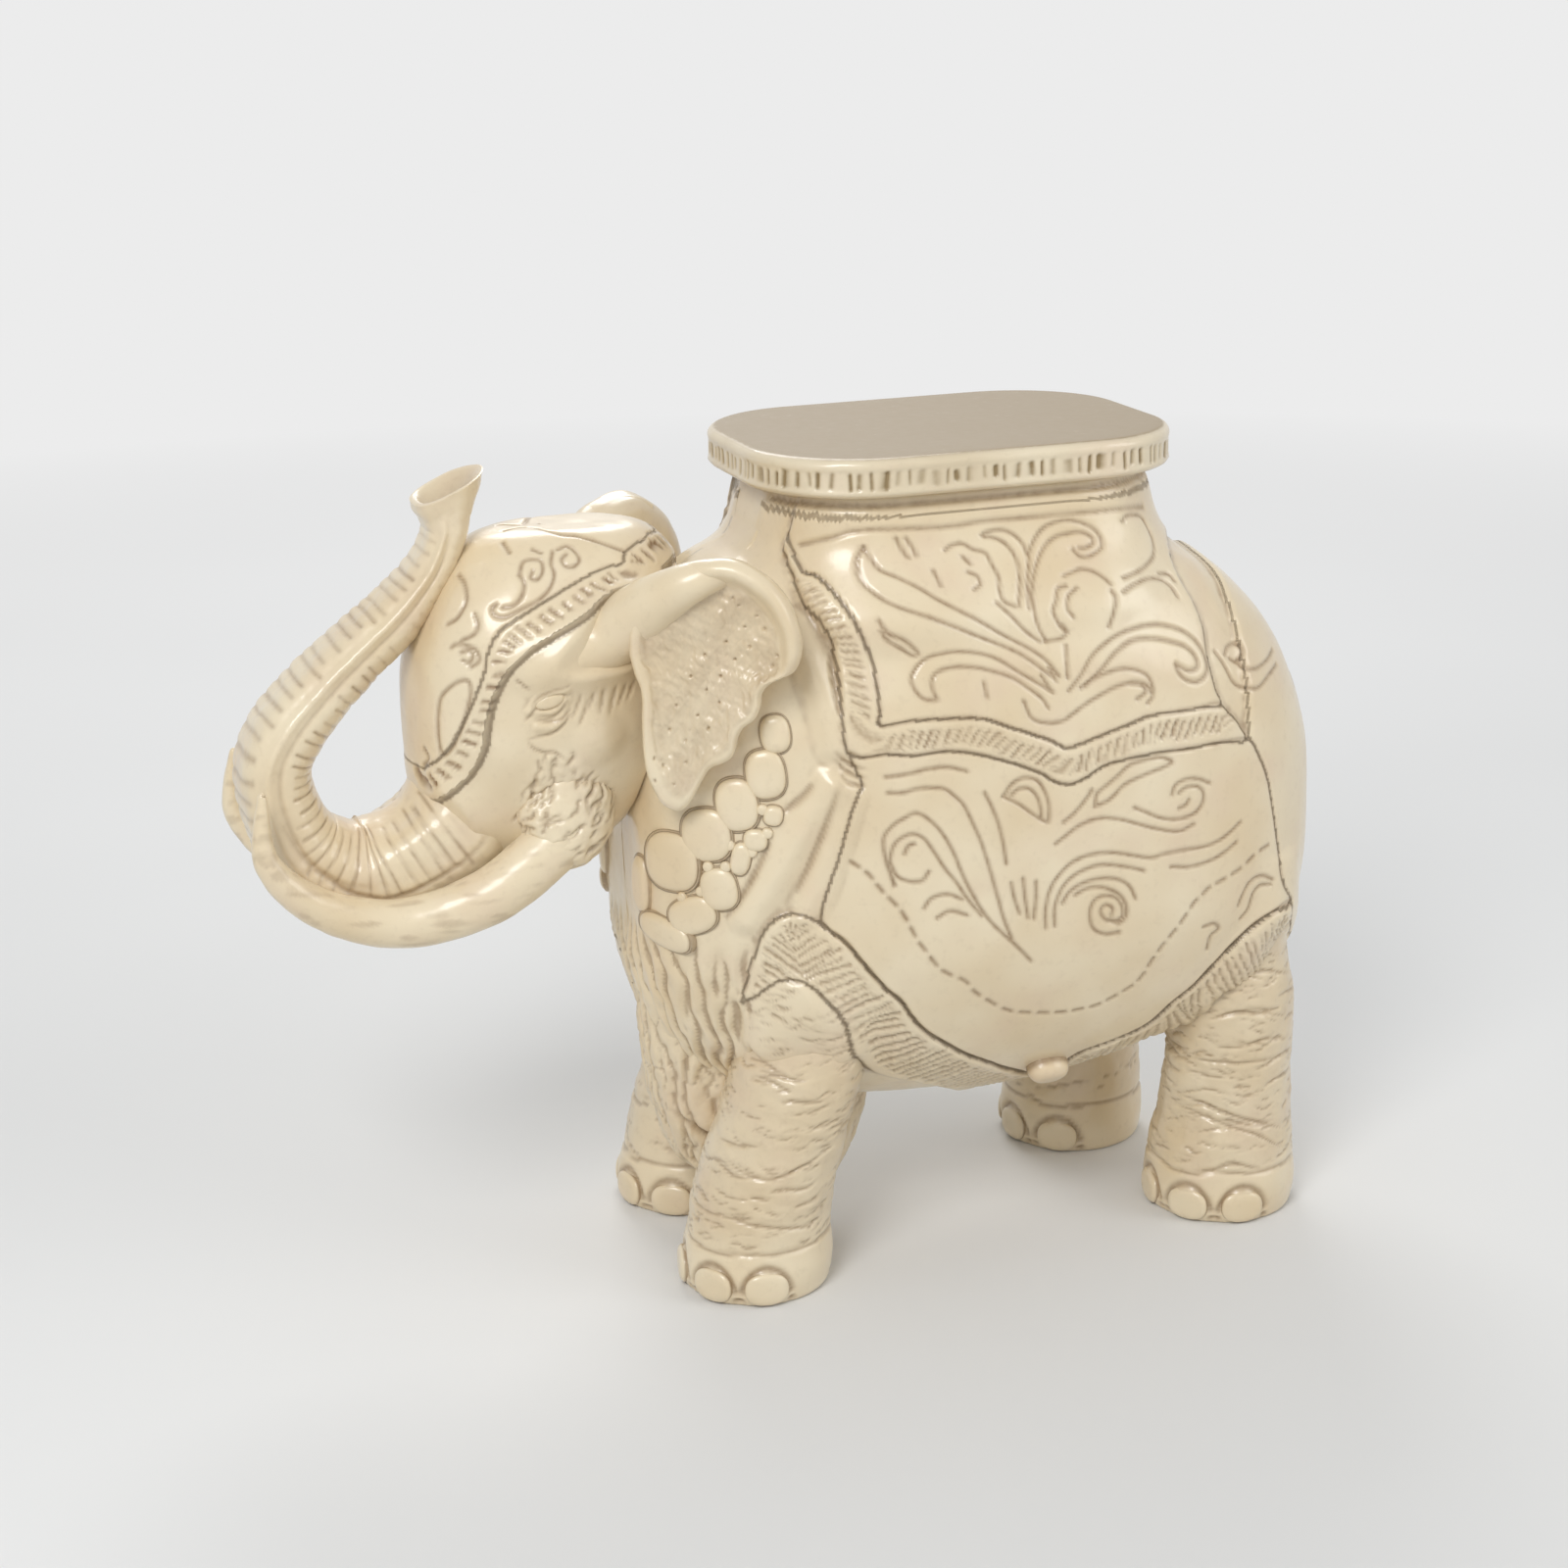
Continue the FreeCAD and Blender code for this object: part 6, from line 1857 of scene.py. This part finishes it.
# Lines of the head's left side, in pixels of a cut-out that starts at CUT_START, CUT_SCALE times larger
CUT_START = (190, 440)
CUT_SCALE = 2.9
BAND_LOWER = [
    (1470, 350), (1380, 450), (1250, 500), (1180, 560), (1100, 610), (1020, 660), (960, 720), (920, 800),
    (900, 870), (890, 940), (850, 1020), (780, 1080), (700, 1110)]
BAND_UPPER = [
    (1400, 290), (1310, 345), (1290, 390), (1240, 400), (1130, 460), (1050, 510), (970, 560), (920, 600),
    (890, 660), (880, 720), (850, 800), (800, 900), (760, 960), (700, 1000)]
HEAD_SCROLLS = [
    [(1100, 345), (1125, 335), (1150, 350), (1165, 375), (1150, 395), (1125, 395), (1112, 375), (1125, 360)],
    [(1085, 350), (1080, 385), (1090, 420), (1075, 465), (1040, 500), (990, 525), (945, 548), (910, 543),
     (903, 520), (915, 512)],
    [(985, 420), (995, 385), (1020, 375), (1050, 380), (1055, 410), (1040, 435), (1020, 430), (1025, 410)],
    [(985, 420), (1000, 450), (990, 490), (965, 515), (935, 520)],
    [(935, 325), (955, 355)],
    [(1025, 345), (1050, 355)],
    [(940, 290), (1000, 280), (1060, 290), (1110, 300), (1180, 310), (1300, 350)],
    [(800, 420), (820, 450), (825, 500), (800, 550), (770, 570)],
    [(850, 540), (860, 570), (850, 600), (810, 620)],
    [(810, 655), (830, 650), (845, 665), (835, 685), (815, 680)],
    [(780, 640), (800, 630), (850, 645), (865, 680), (840, 700)],
    [(740, 850), (750, 790), (790, 750), (830, 740), (840, 780), (820, 860), (790, 930), (760, 960),
     (745, 920), (740, 850)],
    [(700, 940), (715, 970), (700, 990)],
]
EYE_LINES = [
    [(542, 722), (549, 711), (562, 704), (575, 700), (580, 696)],
    [(545, 724), (553, 716), (564, 710), (574, 708), (579, 711)],
    [(545, 724), (555, 722), (566, 717), (573, 711)],
    [(549, 729), (562, 731), (571, 726), (577, 717), (579, 711)],
    [(551, 735), (566, 736), (577, 730), (583, 722)],
    [(538, 755), (549, 752), (564, 748), (575, 739), (583, 727)],
    [(538, 756), (544, 763), (555, 768), (566, 768), (579, 775)],
    [(536, 735), (542, 729), (546, 723)],
    [(527, 695), (533, 699)],
    [(533, 700), (540, 705)],
]
EYE_LIDS = [
    [(540, 726), (548, 715), (561, 707), (575, 704)],
    [(550, 727), (562, 727), (572, 721), (578, 714)],
    [(548, 742), (562, 742), (574, 734)],
]
EYE_SPOT = (561, 715)
CHEEK_SPOTS = [(612, 752), (614, 756)]

BROW_ROLL = [
    (548, 690, 48, 4.5), (562, 681, 48.5, 8), (580, 672, 48, 12), (602, 660, 47, 15), (624, 648, 49, 16.5),
    (646, 632, 56, 16), (672, 613, 68, 13.5), (700, 597, 80, 10.5), (728, 587, 85, 8), (752, 582, 85, 5.5),
    (768, 586, 84, 3.5)]


# The feathery cheek over the tusk's root, from top to bottom: pixel, depth, half width, thickness
CHEEK_MASS = [
    (584, 776, 37, 9, 9), (581, 790, 37, 19, 14), (578, 812, 37, 25, 17), (574, 836, 38, 26, 18),
    (567, 857, 40, 22, 16.5), (558, 873, 41, 14, 12), (551, 883, 41, 6, 6)]


def make_cheek():
    """Makes the feathery cheek that the tusk comes out of."""
    table = np.array([
        (*place_at_depth((x, y), depth * MM), breadth * MM, thick * MM)
        for x, y, depth, breadth, thick in CHEEK_MASS])
    dense = smooth_line(table, 1.1 * MM)
    sheet = tube_sheet(dense[:, :3], dense[:, 3:4], dense[:, 4:5], 120)
    sheet.roughen(0.7 * MM, 12 * MM, 92, 2)
    anywhere = np.ones(sheet.shape, bool)
    cut_strokes(sheet, anywhere, cheek_way, 210, *CHEEK_FEATHER, 93, 0.1)
    sheet.settle_wash(3)
    return closed_part(sheet)


def meet(sheet, tree, reach, rise, last):
    """Swells a sheet near another form, alike on both sides, so that the one flows into the other."""
    points = sheet.base.reshape(-1, 3) * np.array([1, 0, 1])
    points[:, 1] = -np.abs(sheet.base[..., 1].ravel())
    swell = np.zeros(len(points))
    for number in np.nonzero(points[:, 0] < last)[0]:
        found = tree.find_nearest(Vector(points[number]), reach)
        if found[0] is not None:
            aside = soft_step(-points[number, 1], 18 * MM, 36 * MM)
            swell[number] = rise * aside * (1 - found[3] / reach) ** 2
    sheet.height += softened(swell.reshape(sheet.shape), 2, True)


def place_at_depth(pixel, depth):
    """Gives the place seen at a pixel that lies a given distance to the left of the middle plane."""
    ray = np.array(sight(pixel))
    return np.array(EYE) + ray * (-depth - EYE[1]) / ray[1]


def brow_sheet():
    """Makes the surface of the thick smooth roll from the brow to the top of the ear."""
    table = np.array([
        (*place_at_depth((x, y), depth * MM), radius * MM) for x, y, depth, radius in BROW_ROLL])
    dense = smooth_line(table, 1.2 * MM)
    sheet = tube_sheet(dense[:, :3], dense[:, 3:4], dense[:, 3:4], 90)
    sheet.roughen(0.3 * MM, 26 * MM, 91, 2)
    return sheet


def cheek_way(place):
    """Turns the feathery strokes of the cheek from upright at the top to level along the jaw."""
    rise = soft_step(place[2], 245 * MM, 285 * MM)
    return np.array([0.9 - 0.5 * rise, 0, 0.35 + 0.65 * rise])


def cut_cheek(sheet, tree, flip):
    """Raises the cheek in a soft smooth bulge and cuts its feathery strokes."""
    spots = []
    for pixel in CHEEK_PIXELS:
        hit = seen(tree, pixel)[0]
        if hit is not None:
            spots.append(np.array(hit) * flip)
    where = sheet.mask(np.array(spots))
    soft = softened(where.astype(float), 5, True)
    sheet.height += soft * (1.0 * MM + 0.9 * MM * hills(sheet.base, 9 * MM, 85, 2))
    cut_strokes(sheet, where, cheek_way, 90, *JAW_FEATHER, 86, 0.15)
    cut_strokes(sheet, where, cheek_way, 14, *JAW_ACCENT, 87, 0.1)


# Outline of the feathery cheek, in pixels
CHEEK_PIXELS = [
    (545, 790), (556, 772), (575, 768), (592, 776), (606, 790), (617, 815), (614, 838), (600, 856),
    (575, 868), (550, 878), (534, 872), (530, 850), (534, 820)]


HAIR_STROKES = [
    [(583, 735), (589, 722), (592, 708)], [(590, 742), (596, 728), (600, 712)],
    [(599, 728), (604, 714), (606, 704)], [(612, 728), (615, 712), (616, 700)],
    [(622, 730), (626, 712), (628, 698)], [(631, 722), (636, 708), (638, 696)],
    [(640, 716), (644, 704), (646, 694)]]
BROW_LINE = [(1000, 700), (1100, 640), (1230, 570), (1340, 510), (1400, 480)]


def uncut(pixels):
    """Turns pixels of the enlarged cut-out into pixels of the photograph."""
    return [(CUT_START[0] + x / CUT_SCALE, CUT_START[1] + y / CUT_SCALE) for x, y in pixels]


def above_line(sheet, spots):
    """Says which points of a wrapped sheet lie above a line that runs round it from one side to the other."""
    rows, columns = sheet.shape
    place = spots[:, 1] % columns
    order = np.argsort(place)
    line_rows = spots[order, 0]
    line_columns = place[order]
    limit = np.interp(np.arange(columns), line_columns, line_rows)
    outside = (np.arange(columns) < line_columns[0]) | (np.arange(columns) > line_columns[-1])
    upward = sheet.base[-1, :, 2].mean() > sheet.base[0, :, 2].mean()
    limit[outside] = max(line_rows[0], line_rows[-1]) if upward else min(line_rows[0], line_rows[-1])
    number = np.arange(rows)[:, None]
    return number > limit[None, :] if upward else number < limit[None, :]


def make_head(look):
    """Makes the head, the cloth over the forehead with its hatched border, and the two eyes."""
    tree = solid_tree("head_shell", "head_cloth", "head_cloth_border")
    skin = Skin(
        solid_tree("head_shell"), HEAD_MIDDLE, ((0, 0, 1), (-1, 0, 0), (0, -1, 0)), HEAD_HALF_LENGTH,
        HEAD_PROBE_START, 2)
    sheet = skin.patch(HEAD_TILTS, WHOLE_TURNS, HEAD_STEP)
    lower = traced(tree, uncut(BAND_LOWER))
    upper = traced(tree, uncut(BAND_UPPER))
    lower = lower[lower[:, 1] < -MM]
    upper = upper[upper[:, 1] < -MM]
    masks = []
    for line in (lower, upper):
        whole = np.concatenate([line, (line * flipped(-1))[::-1]])
        masks.append(above_line(sheet, sheet.spots(whole)))
    over, cloth = masks
    border = over & ~cloth
    rise = np.where(over, HEAD_CLOTH_RISE, 0.0) + np.where(border, HEAD_BORDER_RISE, 0.0)
    sheet.height += softened(rise, 4, True)
    for side in (1, -1):
        flip = flipped(side)
        sheet.swell(traced(tree, uncut(BROW_LINE)) * flip, *BROW_SWELL)
        sheet.swell(traced(tree, CHEEK_SPOTS) * flip, *CHEEK_SWELL)
        for line in (lower, upper):
            sheet.incise(line * flip, LINE_WIDTH * 0.9, LINE_DEPTH * 0.7, 0.65)
        for pixels in HEAD_SCROLLS:
            sheet.incise(traced(tree, uncut(pixels)) * flip)
        for pixels in EYE_LIDS:
            sheet.swell(traced(tree, pixels) * flip, *LID_SWELL)
        for pixels in EYE_LINES:
            sheet.incise(traced(tree, pixels) * flip, *EYE_CUT, True)
        for pixels in HAIR_STROKES:
            sheet.incise(traced(tree, pixels) * flip, *HAIR_CUT, True)
        hatch(sheet, upper * flip, border, *BORDER_HATCH, False)
        cut_cheek(sheet, tree, flip)
    sheet.roughen(0.4 * MM, 30 * MM, 84, 2)
    meet(sheet, solid_tree("trunk"), *TRUNK_FILLET, TRUNK_MEETS)
    roll = brow_sheet()
    meet(sheet, roll.ray_tree(), *BROW_FILLET, BROW_MEETS)
    sheet.settle_wash(4, 0.6)
    for name, mask in (("head_cloth", cloth), ("head_cloth_border", border)):
        part = Part()
        part.add_shell(sheet, widened(mask), HEAD_CLOTH_WALL)
        keep(part, name, look)
    sheet.height -= np.where(eroded(over, 3), SINK, 0.0)
    head = closed_part(sheet)
    for extra in (closed_part(roll), make_cheek()):
        head.add_all(extra)
        head.add_all(extra.mirrored())
    keep(head, "head_shell", look)
    set_pair("eye", tree, EYE_SPOT, (1, 0, 0.3), EYE_SIZE, look, "{side}_eye")


def set_pair(name, tree, pixel, lengthwise, size, look, title, lift=0.0):
    """Sets one smooth dome where the camera sees a pixel, and its twin on the other side."""
    shape = moulded_shape(f"{name}_shape", *size, 2.0, 40, 12)
    hit, normal, _, _ = seen(tree, pixel)
    for side_name, side in (("left", 1), ("right", -1)):
        flip = flipped(side)
        node = title.format(side=side_name)
        place = np.array(hit + normal * lift) * flip
        spot = (place, frame_on(np.array(normal) * flip, lengthwise), (1, 1, 1))
        finish_piece(scattered(f"{node}_relief", shape, [spot], look), look, node)
    bpy.data.objects.remove(shape)


# Tail from its root down: height and swing to the right in mm, and girth share
TAIL_LEVELS = [
    (330, 0, 1.0), (300, 5, 0.95), (265, 14, 0.9), (230, 27, 0.85), (190, 33, 0.85), (165, 34, 1.0),
    (145, 31, 1.1), (138, 30, 0.5)]


def make_tail(look):
    """Makes the tail, which lies down the rump and swings to the right, with wrinkles and a combed tuft."""
    tree = solid_tree("body_shell", "rump_cloth")
    centres = []
    for height, sway, _ in TAIL_LEVELS:
        hit = tree.ray_cast(Vector((0.5, sway * MM, height * MM)), Vector((-1, 0, 0)))[0]
        buried = TAIL_BURIED * soft_step(height, 300, 330)
        centres.append((hit.x + 3 * MM - buried, sway * MM, height * MM))
    table = np.array(TAIL_LEVELS)
    line = smooth_line(np.array(centres), 1.2 * MM)
    girth = np.interp(line[:, 2], table[::-1, 0] * MM, table[::-1, 2])[:, None] * TAIL_RADIUS
    columns = 60
    sheet = tube_sheet(line, girth, girth, columns)
    turn = whole_turn(columns)
    lift = sheet.base[..., 2]
    tuft = 1 - soft_step(lift, 172 * MM, 182 * MM)
    rings_cut = np.exp(-((np.mod(lift / TAIL_RING_PITCH, 1.0) - 0.5) / 0.16) ** 2) * (1 - tuft)
    comb = np.exp(-((np.mod(turn / (2 * math.pi) * 14, 1.0) - 0.5) / 0.2) ** 2)[None, :] * tuft
    sheet.height -= 0.6 * MM * rings_cut + 0.9 * MM * comb
    sheet.settle_wash(3)
    keep(closed_part(sheet), "tail", look)


def make_camera():
    """Sets the camera where the photograph was taken from."""
    right, up, forward = camera_axes()
    data = bpy.data.cameras.new("camera")
    data.sensor_width = SENSOR_WIDTH
    data.lens = FOCAL_PIXELS / IMAGE_SIZE * SENSOR_WIDTH
    camera = bpy.data.objects.new("camera", data)
    matrix = np.eye(4)
    matrix[:3, 0] = right
    matrix[:3, 1] = up
    matrix[:3, 2] = -forward
    matrix[:3, 3] = EYE
    camera.matrix_world = Matrix(matrix.tolist())
    bpy.context.scene.collection.objects.link(camera)
    bpy.context.scene.camera = camera


def make_light(name, place, target, size, power):
    """Hangs one soft lamp and turns it to a target."""
    data = bpy.data.lights.new(name, "AREA")
    data.shape = "DISK"
    data.size = size
    data.energy = power
    lamp = bpy.data.objects.new(name, data)
    lamp.location = place
    lamp.rotation_euler = (Vector(target) - Vector(place)).to_track_quat("-Z", "Y").to_euler()
    bpy.context.scene.collection.objects.link(lamp)


def make_stage():
    """Makes the floor, the backdrop and the soft studio lamps."""
    make_floor()
    make_world()
    for lamp in LAMPS:
        make_light(*lamp)


def main():
    """Builds the whole scene."""
    bpy.context.scene.view_settings.view_transform = "Standard"
    cream = glaze("cream_glaze_look", CREAM, CREAM_WARM, BROWN_WASH_AND_SHADE)
    seat = glaze("seat_glaze_look", SEAT_PALE, SEAT_WARM, SEAT_WASH_AND_SHADE)
    make_camera()
    make_stage()
    flank = make_barrel(cream)
    make_slab(seat)
    make_head(cream)
    make_trunk(cream)
    pits = None
    for side_name, side in (("left", -1), ("right", 1)):
        make_tusk(side_name, side, cream)
        pits = make_ear(side_name, side, cream, pits)
    make_legs(cream)
    make_plates(cream, flank.tree)
    make_web(cream)
    set_pair("knob", flank.tree, KNOB_PIXEL, (1, 0, 0), KNOB_SIZE, cream, "drape_knob_{side}", KNOB_LIFT)
    make_tail(cream)


main()
